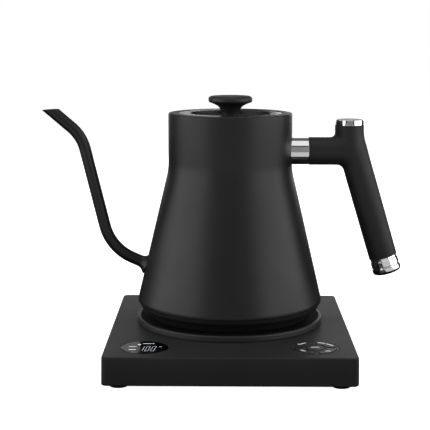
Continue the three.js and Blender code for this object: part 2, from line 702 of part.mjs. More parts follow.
function spout() {
  const overrun = 2;
  const boreStart = past(SPOUT_START, SPOUT_CORNERS[0], overrun);
  const boreEnd = past(SPOUT_END, SPOUT_CORNERS.at(-1), overrun);
  const outside = rodAlong(bentRoute(SPOUT_START, SPOUT_CORNERS, SPOUT_END), SPOUT_RADIUS, 16);
  const bore = rodAlong(bentRoute(boreStart, SPOUT_CORNERS, boreEnd), SPOUT_RADIUS - SPOUT_WALL, 12);
  const size = 10 * SPOUT_RADIUS;
  const aboveLip = new THREE.BoxGeometry(size, size, size).translate(0, 0, size / 2)
    .rotateY(THREE.MathUtils.degToRad(-SPOUT_LIP.tilt))
    .translate(SPOUT_LIP.x, 0, SPOUT_LIP.z);
  return outside.subtract(bore).subtract(solid(aboveLip)).subtract(bodyEnvelope());
}

// ---------------------------------------------------------------- kettle floor and underside

const coverScrews = [0, 1, 2].map((i) => {
  const angle = Math.PI / 2 + Math.PI / 3 + (i * 2 * Math.PI) / 3;
  return { x: COVER_SCREW_RING * Math.cos(angle), y: COVER_SCREW_RING * Math.sin(angle) };
});
const coverScrewHead = coverBottom + COVER_SCREW_RECESS;
const coverBossTop = coverScrewHead + SCREW_HEAD_THICK + COVER_THICK;
const probeSealRadius = PROBE.radius + GAP + PROBE_SEAL.wall;
const probeY = couplerRadius + PROBE.clear + PROBE.radius;

function heaterPlate() {
  const rim = coneRadius(FLOOR_HEIGHT) - BODY_WALL - GAP;
  const skirt = BODY_BOTTOM + SKIRT_RISE;
  const edge = FLOOR_THICK / 2;
  let plate = turned([
    [0, floorUnder], [rim - FLOOR_THICK, floorUnder], [rim - FLOOR_THICK, skirt], [rim, skirt],
    [rim, FLOOR_HEIGHT - edge], [rim - edge, FLOOR_HEIGHT], [0, FLOOR_HEIGHT],
  ]);
  for (const { x, y } of coverScrews) {
    plate = plate.add(moved(disc(BOSS_RADIUS, coverBossTop + GAP, floorUnder + edge, 12), x, y));
    plate = plate.subtract(moved(disc(screwHoleRadius, coverBossTop, floorUnder - 1, 8), x, y));
  }
  return plate.subtract(moved(disc(probeSealRadius + GAP, floorUnder - 1, FLOOR_HEIGHT + 1), 0, probeY));
}

function diffuserPlate() {
  const plate = disc(DIFFUSER_RADIUS, diffuserUnder, floorUnder - GAP, 32);
  return plate.subtract(moved(disc(PROBE.radius + PROBE_ROOM, 0, FLOOR_HEIGHT), 0, probeY));
}

function probeSeal() {
  const bore = PROBE.radius + GAP;
  const lip = bore + PROBE_SEAL.lip;
  const tail = diffuserUnder - PROBE_SEAL.tail;
  return turned([[bore, tail], [probeSealRadius, tail], [probeSealRadius, FLOOR_HEIGHT + GAP],
    [lip, FLOOR_HEIGHT + GAP], [lip, FLOOR_HEIGHT + PROBE_SEAL.edge],
    [bore, FLOOR_HEIGHT + PROBE_SEAL.height]], 20);
}

const elementZ = diffuserUnder - GAP - ELEMENT_RADIUS;

function heatingElement() {
  const steps = 24;
  const points = [];
  for (let i = 0; i <= steps; i += 1) {
    const angle = -Math.PI / 2 + ELEMENT_OPENING / 2 + (i / steps) * (2 * Math.PI - ELEMENT_OPENING);
    points.push(new THREE.Vector3(elementRing * Math.cos(angle), elementRing * Math.sin(angle), elementZ));
  }
  return rodAlong(new Route(points), ELEMENT_RADIUS, 8);
}

function kettleCoupler() {
  const roof = diffuserUnder - GAP;
  const ceiling = TOWER_RISE + COUPLER_HEADROOM;
  const sleeveOuter = slotOuter - CONTACT_THICK - 2 * GAP;
  const sleeveInner = slotInner + CONTACT_THICK + 2 * GAP;
  return turned([
    [0, ceiling], [sleeveInner, ceiling], [sleeveInner, SLEEVE_START], [sleeveOuter, SLEEVE_START],
    [sleeveOuter, ceiling], [couplerBore, ceiling], [couplerBore, coverBottom + COUPLER_LEAD_IN],
    [couplerBore + COUPLER_LEAD_IN, coverBottom], [couplerRadius, coverBottom], [couplerRadius, roof],
    [0, roof],
  ], 24);
}

function bottomCover() {
  const top = BODY_BOTTOM - GAP;
  const bend = [COVER_RADIUS - COVER_CURVE.inward, coverBottom + COVER_CURVE.up];
  const innerBend = [bend[0] - COVER_THICK, bend[1] + COVER_THICK / 2];
  let cover = turned([
    [coverHole, coverBottom],
    ...eased([COVER_FOOT_RADIUS, coverBottom], bend, [COVER_RADIUS, top]),
    ...eased([COVER_RADIUS - COVER_THICK, top], innerBend,
      [COVER_FOOT_RADIUS - COVER_THICK / 2, coverBottom + COVER_THICK]),
    [coverHole, coverBottom + COVER_THICK],
  ]);
  for (const { x, y } of coverScrews) {
    const boss = disc(SCREW_HEAD_RADIUS + COVER_BOSS_WALL, coverBottom + 1, coverBossTop, 12);
    cover = cover.add(moved(boss, x, y));
    cover = cover.subtract(moved(disc(SCREW_HEAD_RADIUS + GAP, coverBottom - 1,
      coverScrewHead + SCREW_HEAD_THICK + GAP, 12), x, y));
    cover = cover.subtract(moved(disc(screwHoleRadius, coverBottom, coverBossTop + 1, 8), x, y));
  }
  return cover;
}

function undersidePieces() {
  const group = new THREE.Group();
  group.add(
    piece('heater_plate', heaterPlate(), 'steel'),
    piece('diffuser_plate', diffuserPlate(), 'aluminium'),
    piece('heating_element', heatingElement(), 'steel'),
    piece('kettle_coupler', kettleCoupler(), 'darkPlastic'),
    piece('coupler_seal', ring(couplerRadius + GAP, couplerRadius + GAP + SEAL_WIDTH,
      coverBottom + SEAL_LIFT, coverBottom + SEAL_LIFT + SEAL_HEIGHT, 24), 'silicone'),
    piece('bottom_cover', bottomCover(), 'darkPlastic'),
  );

  for (const [name, side] of [['left', -1], ['right', 1]]) {
    const { radius, length } = TERMINAL;
    const terminal = new THREE.CylinderGeometry(radius, radius, length, 12).rotateZ(Math.PI / 2)
      .translate(-side * (length / 2 + GAP), 0, 0);
    const turn = side * (ELEMENT_OPENING / 2);
    const mesh = piece(`element_terminal_${name}`, solid(terminal), 'steel');
    mesh.position.set(side * elementRing * Math.sin(ELEMENT_OPENING / 2),
      -elementRing * Math.cos(ELEMENT_OPENING / 2), elementZ);
    mesh.rotation.z = turn;
    group.add(mesh);
  }

  const probe = piece('temperature_probe', turned([[0, PROBE.bottom], [PROBE.radius, PROBE.bottom],
    [PROBE.radius, PROBE.top - PROBE.tip], [PROBE.radius / 2, PROBE.top], [0, PROBE.top]], 16), 'steel');
  probe.position.y = probeY;
  const seal = piece('probe_seal', probeSeal(), 'silicone');
  seal.position.y = probeY;
  const cutout = piece('thermal_cutout', disc(CUTOUT.radius, diffuserUnder - GAP - CUTOUT.thick,
    diffuserUnder - GAP), 'aluminium');
  cutout.position.set(cutoutReach * Math.cos(CUTOUT.bearing), cutoutReach * Math.sin(CUTOUT.bearing), 0);
  group.add(probe, seal, cutout);

  coverScrews.forEach(({ x, y }, i) => {
    const mesh = piece(`cover_screw_${i + 1}`, screw(floorUnder - BOSS_FOOT_WALL - coverScrewHead), 'steel');
    mesh.position.set(x, y, coverScrewHead);
    group.add(mesh);
  });
  return group;
}

// ---------------------------------------------------------------- handle

const studHoleRadius = STUD_RADIUS + GAP;
const insideNeck = NECK_RADIUS / 2;

function handleStud() {
  const flangeRadius = COLLAR_RADIUS - COLLAR_WALL - GAP;
  const flange = laidAlongX(disc(flangeRadius, insideNeck, NECK_RADIUS + STUD_FLANGE), armHeight);
  const rod = laidAlongX(disc(STUD_RADIUS, insideNeck, STUD_END, 16), armHeight);
  return flange.add(rod).subtract(bodyEnvelope());
}

function handleCollar() {
  const endWall = COLLAR_END - COLLAR_END_WALL;
  const sleeve = laidAlongX(disc(COLLAR_RADIUS, insideNeck, COLLAR_END, 28), armHeight);
  const hollow = laidAlongX(disc(COLLAR_RADIUS - COLLAR_WALL, insideNeck - 1, endWall, 28), armHeight);
  const hole = laidAlongX(disc(studHoleRadius, insideNeck, COLLAR_END + 1, 16), armHeight);
  return sleeve.subtract(hollow).subtract(hole).subtract(bodyEnvelope());
}

// The grip runs down from the cap, through one gentle bend, to the counterweight.
function handleGrip() {
  const top = { x: UPRIGHT_X, z: uprightTop };
  const arm = laidAlongX(disc(ARM_RADIUS, COLLAR_END + GAP, UPRIGHT_X, 24), armHeight);
  const studHole = laidAlongX(disc(studHoleRadius, COLLAR_END - 1, STUD_END + 1, 12), armHeight);
  const capHole = disc(CAP_SPIGOT_RADIUS + GAP, uprightTop - CAP_SPIGOT_LENGTH - GAP, uprightTop + 1, 16);
  const weightHole = disc(studHoleRadius, -1, WEIGHT_STUD_TOP + GAP, 12);
  const lean = new THREE.Matrix4().makeRotationY(-gripLean);
  lean.premultiply(new THREE.Matrix4().makeTranslation(gripEnd.x, 0, gripEnd.z));
  return rodAlong(bentRoute(top, [gripCorner], gripEnd), GRIP_RADIUS, 24)
    .add(arm)
    .subtract(studHole)
    .subtract(moved(capHole, UPRIGHT_X, 0))
    .subtract(weightHole.transform(lean.elements));
}

function handleTopCap() {
  const bottom = uprightTop + GAP;
  const top = bottom + CAP_THICK;
  const spigotBottom = uprightTop - CAP_SPIGOT_LENGTH;
  return turned([[0, spigotBottom], [CAP_SPIGOT_RADIUS, spigotBottom], [CAP_SPIGOT_RADIUS, bottom],
    [ARM_RADIUS, bottom], [ARM_RADIUS, top - CAP_EDGE], [ARM_RADIUS - CAP_EDGE, top], [0, top]], 28);
}

const weightBoreRoof = -WEIGHT_LENGTH + WEIGHT_FLOOR;

// The weight hangs down from z = 0 in the leaning frame at the grip's end.
function handleWeight() {
  const { upperTop, upperBottom, upperInset, lowerTop } = WEIGHT_BANDS;
  const { depth, slope } = WEIGHT_GROOVE;
  const upper = WEIGHT_RADIUS - upperInset;
  const neck = WEIGHT_RADIUS - depth;
  return turned([
    [0, -WEIGHT_LENGTH],
    ...eased([WEIGHT_RADIUS - WEIGHT_ROUND, -WEIGHT_LENGTH], [WEIGHT_RADIUS, -WEIGHT_LENGTH],
      [WEIGHT_RADIUS, -WEIGHT_LENGTH + WEIGHT_ROUND]),
    [WEIGHT_RADIUS, -lowerTop], [neck, -lowerTop + slope], [neck, -upperBottom - slope],
    [upper, -upperBottom], [upper, -upperTop], [neck, -upperTop + slope], [neck, -GAP],
    [studHoleRadius, -GAP], [studHoleRadius, weightBoreRoof], [0, weightBoreRoof],
  ], 28);
}

function handlePieces() {
  const group = new THREE.Group();
  group.add(
    piece('handle_stud', handleStud(), 'steel'),
    piece('handle_collar', handleCollar(), 'chrome'),
    piece('handle_grip', handleGrip(), 'blackPlastic'),
  );
  const cap = piece('handle_top_cap', handleTopCap(), 'chrome');
  cap.position.x = UPRIGHT_X;

  const leaning = new THREE.Group();
  leaning.position.set(gripEnd.x, 0, gripEnd.z);
  leaning.rotation.y = -gripLean;
  leaning.add(
    piece('handle_weight', handleWeight(), 'chrome'),
    piece('handle_weight_stud', disc(STUD_RADIUS, weightBoreRoof + GAP, WEIGHT_STUD_TOP, 16), 'steel'),
  );
  group.add(cap, leaning);
  return group;
}

// ---------------------------------------------------------------- lid

const knobHole = KNOB_SCREW.radius + GAP;
const plugBottom = plugTop - PLUG_DEPTH;
const knobFoot = dishFloor + WASHER.thick + 2 * GAP;

function lidCap() {
  const rim = MOUTH_RADIUS - GAP;
  const lipBottom = lidTop - LID_LIP;
  const under = lidTop - LID_SHEET;
  const floorUnderside = dishFloor - LID_SHEET;
  return turned([
    [knobHole, floorUnderside], [DISH_RADIUS + LID_SHEET, floorUnderside], [DISH_RADIUS + LID_SHEET, under],
    [rim - LID_SHEET, under], [rim - LID_SHEET, lipBottom], [rim, lipBottom], [rim, lidTop - LID_EDGE],
    [rim - LID_EDGE, lidTop], [DISH_RADIUS + LID_EDGE, lidTop], [DISH_RADIUS, lidTop - LID_EDGE],
    [DISH_RADIUS, dishFloor + DISH_ROUND], [DISH_RADIUS - DISH_ROUND, dishFloor], [knobHole, dishFloor],
  ]);
}

const grooveBottom = plugBottom + GASKET_RISE;
const grooveTop = grooveBottom + GASKET_HEIGHT + 2 * GAP;
const grooveRadius = PLUG_RADIUS - GASKET_SEAT;

function lidPlug() {
  const inner = grooveRadius - PLUG_WALL;
  const pocket = plugBottom + PLUG_FLOOR;
  const screwSeat = plugBottom + SCREW_HEAD_THICK + 2 * GAP;
  const screwRoom = KNOB_SCREW.head + GAP;
  return turned([
    [knobHole, screwSeat], [screwRoom, screwSeat], [screwRoom, plugBottom],
    [PLUG_RADIUS - PLUG_EDGE, plugBottom], [PLUG_RADIUS, plugBottom + PLUG_EDGE],
    [PLUG_RADIUS, grooveBottom], [grooveRadius, grooveBottom],
    [grooveRadius, grooveTop], [PLUG_RADIUS, grooveTop], [PLUG_RADIUS, plugTop], [inner, plugTop],
    [inner, pocket], [PLUG_BOSS, pocket], [PLUG_BOSS, plugTop], [knobHole, plugTop],
  ], 28);
}

function lidKnob() {
  const boreRoof = knobTop - KNOB_BORE_ROOF;
  const flare = [KNOB_FOOT_RADIUS + 0.9, knobTop - KNOB_FLARE];
  const underside = [KNOB_RADIUS - 2, knobTop - KNOB_UNDERSIDE];
  const rimBottom = knobTop - KNOB_RIM.lower;
  return turned([
    [knobHole, knobFoot], [KNOB_FOOT_RADIUS, knobFoot],
    ...eased([KNOB_FOOT_RADIUS, knobFoot + KNOB_STEM], flare, underside, 4),
    ...eased([KNOB_RADIUS - 0.8, rimBottom - GAP], [KNOB_RADIUS, rimBottom],
      [KNOB_RADIUS, knobTop - KNOB_RIM.upper], 2),
    ...eased([KNOB_RADIUS - 0.1, knobTop - KNOB_TOP_EDGE.down], [KNOB_RADIUS - 0.5, knobTop],
      [KNOB_RADIUS - KNOB_TOP_EDGE.inward, knobTop]),
    [0, knobTop], [0, boreRoof], [knobHole, boreRoof],
  ], 28);
}

function lidPieces() {
  const group = new THREE.Group();
  const screwBottom = plugBottom + GAP;
  const gasketBottom = grooveBottom + GAP;
  group.add(
    piece('lid_cap', lidCap(), 'blackPaint'),
    piece('lid_plug', lidPlug(), 'darkPlastic'),
    piece('lid_gasket', ring(grooveRadius + GAP, WELL_RADIUS - GAP, gasketBottom,
      gasketBottom + GASKET_HEIGHT, 28), 'silicone'),
    piece('knob_washer', ring(knobHole + GAP, KNOB_FOOT_RADIUS + WASHER.reach, dishFloor + GAP,
      dishFloor + GAP + WASHER.thick, 24), 'silicone'),
    piece('lid_knob', lidKnob(), 'blackPlastic'),
  );
  const screwLength = knobTop - KNOB_BORE_ROOF - RUN_GAP - screwBottom;
  const knobScrew = piece('knob_screw', screw(screwLength, KNOB_SCREW.radius, KNOB_SCREW.head), 'steel');
  knobScrew.position.z = screwBottom;
  group.add(knobScrew);
  return group;
}

// ---------------------------------------------------------------- the whole set

const kettle = new THREE.Group();
kettle.position.z = discTop;
kettle.add(
  piece('kettle_body', kettleBody(), 'blackPaint'),
  piece('spout', spout(), 'blackPaint'),
  undersidePieces(),
  handlePieces(),
  lidPieces(),
);

const kettleOnBase = new THREE.Group();
kettleOnBase.position.set(ORIGIN_SHIFT.x, ORIGIN_SHIFT.y, 0);
kettleOnBase.add(basePieces(), kettle);

export default kettleOnBase;
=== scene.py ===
"""Looks of an electric gooseneck kettle on a square power base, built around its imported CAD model.

Outlines and places below are in millimetres, in the model's own frame, and become metres when a
mesh is made. +X runs to the handle, +Z up, and the controls face -Y.
"""

import json
import math

import bmesh
import bpy
import numpy as np
from mathutils import Matrix, Vector

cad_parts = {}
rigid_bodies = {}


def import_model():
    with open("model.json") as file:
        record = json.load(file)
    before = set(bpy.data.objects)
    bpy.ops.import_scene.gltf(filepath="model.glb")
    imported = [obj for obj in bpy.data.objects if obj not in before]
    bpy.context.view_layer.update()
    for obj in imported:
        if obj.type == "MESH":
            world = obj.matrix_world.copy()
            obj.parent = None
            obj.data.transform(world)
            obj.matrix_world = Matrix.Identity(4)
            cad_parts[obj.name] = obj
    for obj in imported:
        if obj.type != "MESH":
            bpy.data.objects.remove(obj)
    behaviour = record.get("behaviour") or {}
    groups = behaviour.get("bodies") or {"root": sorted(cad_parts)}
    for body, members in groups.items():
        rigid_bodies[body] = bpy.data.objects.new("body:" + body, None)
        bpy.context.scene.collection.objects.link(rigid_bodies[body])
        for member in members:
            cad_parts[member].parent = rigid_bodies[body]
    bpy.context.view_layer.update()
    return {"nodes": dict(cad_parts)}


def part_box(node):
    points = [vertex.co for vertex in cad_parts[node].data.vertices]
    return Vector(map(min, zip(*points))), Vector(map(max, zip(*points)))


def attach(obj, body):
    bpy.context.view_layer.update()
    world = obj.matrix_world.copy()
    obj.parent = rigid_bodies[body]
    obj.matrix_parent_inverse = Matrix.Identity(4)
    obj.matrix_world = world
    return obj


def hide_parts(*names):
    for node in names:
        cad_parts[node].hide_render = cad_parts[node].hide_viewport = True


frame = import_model()

MM = 0.001


def lowest(node):
    """The lowest corner of a CAD node, in mm."""
    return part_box(node)[0] / MM


def highest(node):
    """The highest corner of a CAD node, in mm."""
    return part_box(node)[1] / MM


def middle(node):
    return (lowest(node) + highest(node)) / 2


# ---------------------------------------------------------------- places taken from the CAD

KETTLE_X, KETTLE_Y = middle("kettle_body").xy
KETTLE_AXIS = Matrix.Translation((KETTLE_X, KETTLE_Y, 0))
BASE_TOP = highest("base_housing").z
DISC_TOP = highest("rest_disc").z
BODY_TOP = highest("kettle_body").z
BODY_BOTTOM = lowest("kettle_body").z
ARM_HEIGHT = middle("handle_collar").z
UPRIGHT_X = middle("handle_top_cap").x - KETTLE_X


# ---------------------------------------------------------------- camera, backdrop and lights

LENS = 100
CAMERA_FROM_AXIS = Vector((-4.068, -860.783, 238.431))
CAMERA_YAW = math.radians(0.454)
CAMERA_PITCH = math.radians(9.139)
CAMERA_ROLL = math.radians(0.1156)


def add_camera():
    camera = bpy.data.cameras.new("camera")
    camera.lens = LENS
    camera.sensor_width = 36
    forward = Vector((-math.sin(CAMERA_YAW) * math.cos(CAMERA_PITCH),
                      math.cos(CAMERA_YAW) * math.cos(CAMERA_PITCH), -math.sin(CAMERA_PITCH)))
    level = Vector((math.cos(CAMERA_YAW), math.sin(CAMERA_YAW), 0))
    across = Matrix.Rotation(CAMERA_ROLL, 3, -forward) @ level
    up = across.cross(forward)
    turn = Matrix((across, up, -forward)).transposed().to_4x4()
    place = Matrix.Translation((KETTLE_AXIS @ CAMERA_FROM_AXIS) * MM)
    holder = bpy.data.objects.new("camera", camera)
    holder.matrix_world = place @ turn
    bpy.context.scene.collection.objects.link(holder)
    bpy.context.scene.camera = holder


def add_softbox(name, size, at, aim, brightness):
    """A rectangular lamp with one even brightness over its face; sizes and places in metres."""
    lamp = bpy.data.lights.new(name, "AREA")
    lamp.shape = "RECTANGLE"
    lamp.size, lamp.size_y = size
    lamp.energy = brightness * math.pi * size[0] * size[1]
    holder = bpy.data.objects.new(name, lamp)
    away = Vector(at) - Vector(aim)
    holder.matrix_world = Matrix.Translation(at) @ away.to_track_quat("Z", "Y").to_matrix().to_4x4()
    holder.visible_camera = False
    bpy.context.scene.collection.objects.link(holder)


def add_studio():
    """A white surround that only the camera sees, and lamps that the gloss and the colour come from."""
    world = bpy.data.worlds.new("studio")
    bpy.context.scene.world = world
    world.use_nodes = True
    world.node_tree.nodes["Background"].inputs["Color"].default_value = (1, 1, 1, 1)
    for ray in ("diffuse", "glossy", "transmission", "scatter"):
        setattr(world.cycles_visibility, ray, False)
    bpy.context.scene.view_settings.view_transform = "Standard"

    add_softbox("side_left", (2.1, 1.45), (-1.27, -0.33, 0.75), (0, 0, 0.75), 1.75)
    add_softbox("side_right", (2.1, 1.45), (1.27, -0.33, 0.75), (0.05, 0, 0.75), 1.7)
    add_softbox("side_low_left", (1.5, 0.3), (-1.15, -0.3, 0.17), (0, 0, 0.17), 1.4)
    add_softbox("side_low_right", (1.5, 0.3), (1.15, -0.3, 0.17), (0.05, 0, 0.17), 1.35)
    add_softbox("overhead", (1.6, 1.4), (0.0, -0.3, 1.5), (0, 0, 0.1), 1.1)
    add_softbox("behind_high", (1.4, 0.9), (0.0, 1.05, 1.0), (0, 0, 0.1), 0.3)
    add_softbox("behind_left", (0.75, 0.34), (-0.35, 1.25, 0.23), (0, 0, 0.2), 1.45)
    add_softbox("behind_right", (0.75, 0.36), (0.45, 1.25, 0.25), (0, 0, 0.2), 2.5)
    add_softbox("front_fill", (1.8, 1.7), (0.0, -1.8, 0.88), (0, 0, 0.88), 0.3)
    add_softbox("low_card", (1.6, 1.42), (0.0, -0.84, 0.012), (0, -0.84, 1.0), 0.75)


# ---------------------------------------------------------------- materials

def linear(colour):
    """An sRGB hex colour as the linear colour that shaders take."""
    parts = [int(colour[i:i + 2], 16) / 255 for i in (1, 3, 5)]
    return [*(p / 12.92 if p <= 0.04045 else ((p + 0.055) / 1.055) ** 2.4 for p in parts), 1.0]


def add(material, kind, settings=None, links=None):
    """Adds a node to a material, with its settings and the outputs that its sockets take."""
    tree = material.node_tree
    made = tree.nodes.new("ShaderNode" + kind)
    for name, value in (settings or {}).items():
        if isinstance(name, int) or name in made.inputs:
            made.inputs[name].default_value = value
        else:
            setattr(made, name, value)
    for name, source in (links or {}).items():
        tree.links.new(source, made.inputs[name])
    return made


def per_metre(size):
    """The scale that gives a pattern of the given size in mm."""
    return 1 / (size * MM)


def surface(name, tones, tone_size, roughness, relief, shader=None):
    """A material whose colour drifts between two tones and whose roughness drifts between two values.

    relief lists (pattern size in mm, depth in mm, stretch) from coarse to fine, where stretch
    squeezes the pattern along each axis: (1, 1, 1) is even grain, (1, 1, 30) lines round Z.
    """
    material = bpy.data.materials.new(name)
    material.use_nodes = True
    material.node_tree.nodes.clear()
    where = add(material, "TexCoord").outputs["Object"]
    drift = add(material, "TexNoise", {"Scale": per_metre(tone_size), "Detail": 4.0}, {"Vector": where})
    spread = add(material, "MapRange", {"From Min": 0.3, "From Max": 0.7}, {"Value": drift.outputs["Fac"]})
    tone = add(material, "MixRGB", {"Color1": linear(tones[0]), "Color2": linear(tones[1])},
               {"Fac": spread.outputs["Result"]})
    smudge = add(material, "TexNoise", {"Scale": per_metre(tone_size * 0.6), "Detail": 5.0},
                 {"Vector": where})
    dull = add(material, "MapRange", {"From Min": 0.3, "From Max": 0.7, "To Min": roughness[0],
                                      "To Max": roughness[1]}, {"Value": smudge.outputs["Fac"]})
    links = {"Base Color": tone.outputs["Color"], "Roughness": dull.outputs["Result"]}
    for size, depth, stretch in relief:
        squeezed = add(material, "Mapping", {"Scale": stretch}, {"Vector": where})
        grain = add(material, "TexNoise", {"Scale": per_metre(size), "Detail": 2.0},
                    {"Vector": squeezed.outputs["Vector"]})
        bump_links = {"Height": grain.outputs["Fac"]}
        if "Normal" in links:
            bump_links["Normal"] = links["Normal"]
        bump = add(material, "Bump", {"Distance": depth * MM, "Strength": 1.0}, bump_links)
        links["Normal"] = bump.outputs["Normal"]
    shaded = add(material, "BsdfPrincipled", shader, links)
    add(material, "OutputMaterial", links={"Surface": shaded.outputs["BSDF"]})
    return material


EVEN = (1, 1, 1)
METAL = {"Metallic": 1.0}


def make_materials():
    return {
        # Sprayed and baked powder paint: an even black with a low, wide sheen. Its 0.2 mm grain
        # is drawn at 0.9 mm so that it shows.
        "powder_coated_steel": surface(
            "powder_coated_steel", ("#131314", "#0f0f10"), 45, (0.4, 0.46),
            [(14, 0.02, EVEN), (0.9, 0.006, EVEN)], {"IOR": 1.4}),
        # Same paint on the pressed lid, slightly smoother where fingers rub it.
        "powder_coated_lid": surface(
            "powder_coated_lid", ("#19191a", "#151516"), 30, (0.25, 0.31),
            [(0.9, 0.005, EVEN)], {"IOR": 1.45}),
        # Injection-moulded ABS from a spark-eroded tool: matt black with a fine tooth, drawn at
        # 0.7 mm.
        "moulded_abs": surface(
            "moulded_abs", ("#2c2c2d", "#272728"), 60, (0.5, 0.58),
            [(22, 0.02, EVEN), (0.7, 0.012, EVEN)], {"IOR": 1.54, "Specular IOR Level": 0.14}),
        # Smooth-tooled ABS of the raised disc and the covers.
        "satin_abs": surface(
            "satin_abs", ("#1f1f20", "#1b1b1c"), 40, (0.46, 0.54),
            [(0.8, 0.006, EVEN)], {"IOR": 1.54, "Specular IOR Level": 0.38}),
        # Matt black pad let into the disc, painted shade: it stands in for the kettle's shadow on the disc
        # and swallows nearly all light.
        "painted_shade_pad": surface(
            "painted_shade_pad", ("#0a0a0b", "#070708"), 12, (0.8, 0.92), [(0.9, 0.03, EVEN)],
            {"IOR": 1.5, "Specular IOR Level": 0.1}),
        # Glass-filled nylon moulding of hidden and underside parts: dark, dry and even.
        "moulded_nylon": surface(
            "moulded_nylon", ("#0f0f10", "#0b0b0c"), 25, (0.6, 0.7),
            [(1.2, 0.02, EVEN)], {"IOR": 1.53, "Specular IOR Level": 0.18}),
        # Soft-touch coat over the moulded grip: no sharp gloss, only a broad pale band.
        "soft_touch_grip": surface(
            "soft_touch_grip", ("#161617", "#121213"), 35, (0.5, 0.58),
            [(9, 0.01, EVEN), (0.6, 0.008, EVEN)],
            {"IOR": 1.4, "Sheen Weight": 0.05, "Sheen Roughness": 0.5}),
        # Turned and mirror-polished stainless steel: near-mirror with faint lathe lines.
        "polished_stainless": surface(
            "polished_stainless", ("#dcdcdd", "#d2d2d4"), 12, (0.07, 0.13),
            [(0.5, 0.0006, (1, 1, 6))], METAL),
        # Satin-blasted stainless of the cap's end face: rougher than the mirror beside it, and given a much
        # darker metal tone as painted shade, so the face reads as a grey line instead of reflecting the
        # lamps.
        "satin_stainless_painted_shade": surface(
            "satin_stainless_painted_shade", ("#69696c", "#5c5c5f"), 8, (0.34, 0.42), [(0.5, 0.004, EVEN)], METAL),
        # Cold-rolled stainless sheet, brushed: soft streaks in one direction.
        "brushed_stainless": surface(
            "brushed_stainless", ("#b9b9bb", "#a9a9ac"), 10, (0.28, 0.4),
            [(0.5, 0.004, (0.08, 1, 1))], METAL),
        # Zinc-plated screw steel, bright and slightly cool.
        "zinc_plated_screw": surface(
            "zinc_plated_screw", ("#b4b8bd", "#9da1a7"), 3, (0.25, 0.4), [(0.6, 0.006, EVEN)], METAL),
        # Die-cast aluminium: pale grey with a dull, slightly pitted skin.
        "cast_aluminium": surface(
            "cast_aluminium", ("#b9babd", "#9c9da1"), 6, (0.45, 0.6), [(1.1, 0.03, EVEN)], METAL),
        # Stamped brass contacts, lightly worn.
        "stamped_brass": surface(
            "stamped_brass", ("#c9a65a", "#b38f45"), 4, (0.22, 0.38), [(0.5, 0.003, (1, 1, 0.1))], METAL),
        # Moulded rubber: deep black-grey, dry, with a leathery skin.
        "moulded_rubber": surface(
            "moulded_rubber", ("#18181a", "#101011"), 8, (0.72, 0.85), [(0.7, 0.02, EVEN)],
            {"IOR": 1.52, "Specular IOR Level": 0.3}),
        # Translucent food-grade silicone, milky.
        "milky_silicone": surface(
            "milky_silicone", ("#d9d8d2", "#c9c8c1"), 8, (0.45, 0.6), [(0.9, 0.01, EVEN)],
            {"IOR": 1.41, "Subsurface Weight": 0.15, "Subsurface Scale": 0.002}),
        # Glass-fibre circuit board under green solder mask, with the weave just showing.
        "solder_mask_board": surface(
            "solder_mask_board", ("#1d5a35", "#174a2b"), 3, (0.3, 0.45),
            [(0.8, 0.01, (1, 0.2, 1)), (0.8, 0.01, (0.2, 1, 1))], {"IOR": 1.55}),
        # Polished black acrylic over the display: mirror-smooth, almost no colour of its own.
        "black_acrylic": surface(
            "black_acrylic", ("#060607", "#040405"), 14, (0.05, 0.1), [(9, 0.001, EVEN)],
            {"IOR": 1.49, "Specular IOR Level": 0.22}),
        # Metallised print of the display's touch field: dark grey, satin.
        "satin_print": surface(
            "satin_print", ("#39393b", "#313133"), 5, (0.35, 0.5), [(0.5, 0.002, EVEN)], {"IOR": 1.5}),
        # Silicone-hard-coated keys, finely matt.
        "matt_key": surface(
            "matt_key", ("#1e1e20", "#18181a"), 7, (0.45, 0.55), [(0.6, 0.008, EVEN)],
            {"IOR": 1.5, "Specular IOR Level": 0.45}),
        # Pad-printed white ink, a little uneven at its edges, with a faint painted glow that makes it read
        # brighter than the lamps light it.
        "white_ink_with_painted_glow": surface(
            "white_ink_with_painted_glow", ("#e4e4e2", "#cfcfcd"), 0.8, (0.4, 0.55), [(0.4, 0.004, EVEN)],
            {"IOR": 1.5, "Emission Color": linear("#ffffff"), "Emission Strength": 0.35}),
        # Lit display segments behind a light-guide film.
        "lit_segment": surface(
            "lit_segment", ("#eef0f2", "#dfe2e6"), 1.5, (0.3, 0.4), [(0.5, 0.002, EVEN)],
            {"IOR": 1.5, "Emission Color": linear("#f4f7ff"), "Emission Strength": 0.3}),
        # Matt white paper floor.
        "paper_floor": surface(
            "paper_floor", ("#ffffff", "#fbfbfb"), 300, (0.8, 0.9), [(1.5, 0.01, EVEN)],
            {"Specular IOR Level": 0.1, "Emission Color": linear("#ffffff"), "Emission Strength": 0.97}),
    }


# ---------------------------------------------------------------- outlines and meshes

SHARED_SIDE = 0.49              # how much of a side one arc may take, where the next corner has an arc too
FREE_SIDE = 0.98
ARC_STEP = 0.7                  # mm between the points of an arc


def softened(corners, closed=False):
    """An outline through corners (x, y) or (x, y, radius), with an arc at each that has a radius."""
    count = len(corners)
    line = []
    for i, corner in enumerate(corners):
        here = Vector(corner[:2])
        radius = corner[2] if len(corner) > 2 else 0
        if not radius or (not closed and i in (0, count - 1)):
            line.append(here)
            continue
        beside = (corners[i - 1], corners[(i + 1) % count])
        sides = [Vector(other[:2]) - here for other in beside]
        room = [side.length * (SHARED_SIDE if len(other) > 2 else FREE_SIDE)
                for side, other in zip(sides, beside)]
        back, ahead = sides[0].normalized(), sides[1].normalized()
        half = back.angle(ahead) / 2
        reach = min(radius / math.tan(half), *room)
        radius = reach * math.tan(half)
        centre = here + (back + ahead).normalized() * radius / math.sin(half)
        start = here + back * reach - centre
        turn = math.copysign(math.pi - 2 * half, back.cross(ahead) * -1)
        steps = max(4, min(24, round(abs(turn) * radius / ARC_STEP)))
        for k in range(steps + 1):
            line.append(centre + Matrix.Rotation(turn * k / steps, 2) @ start)
    return line


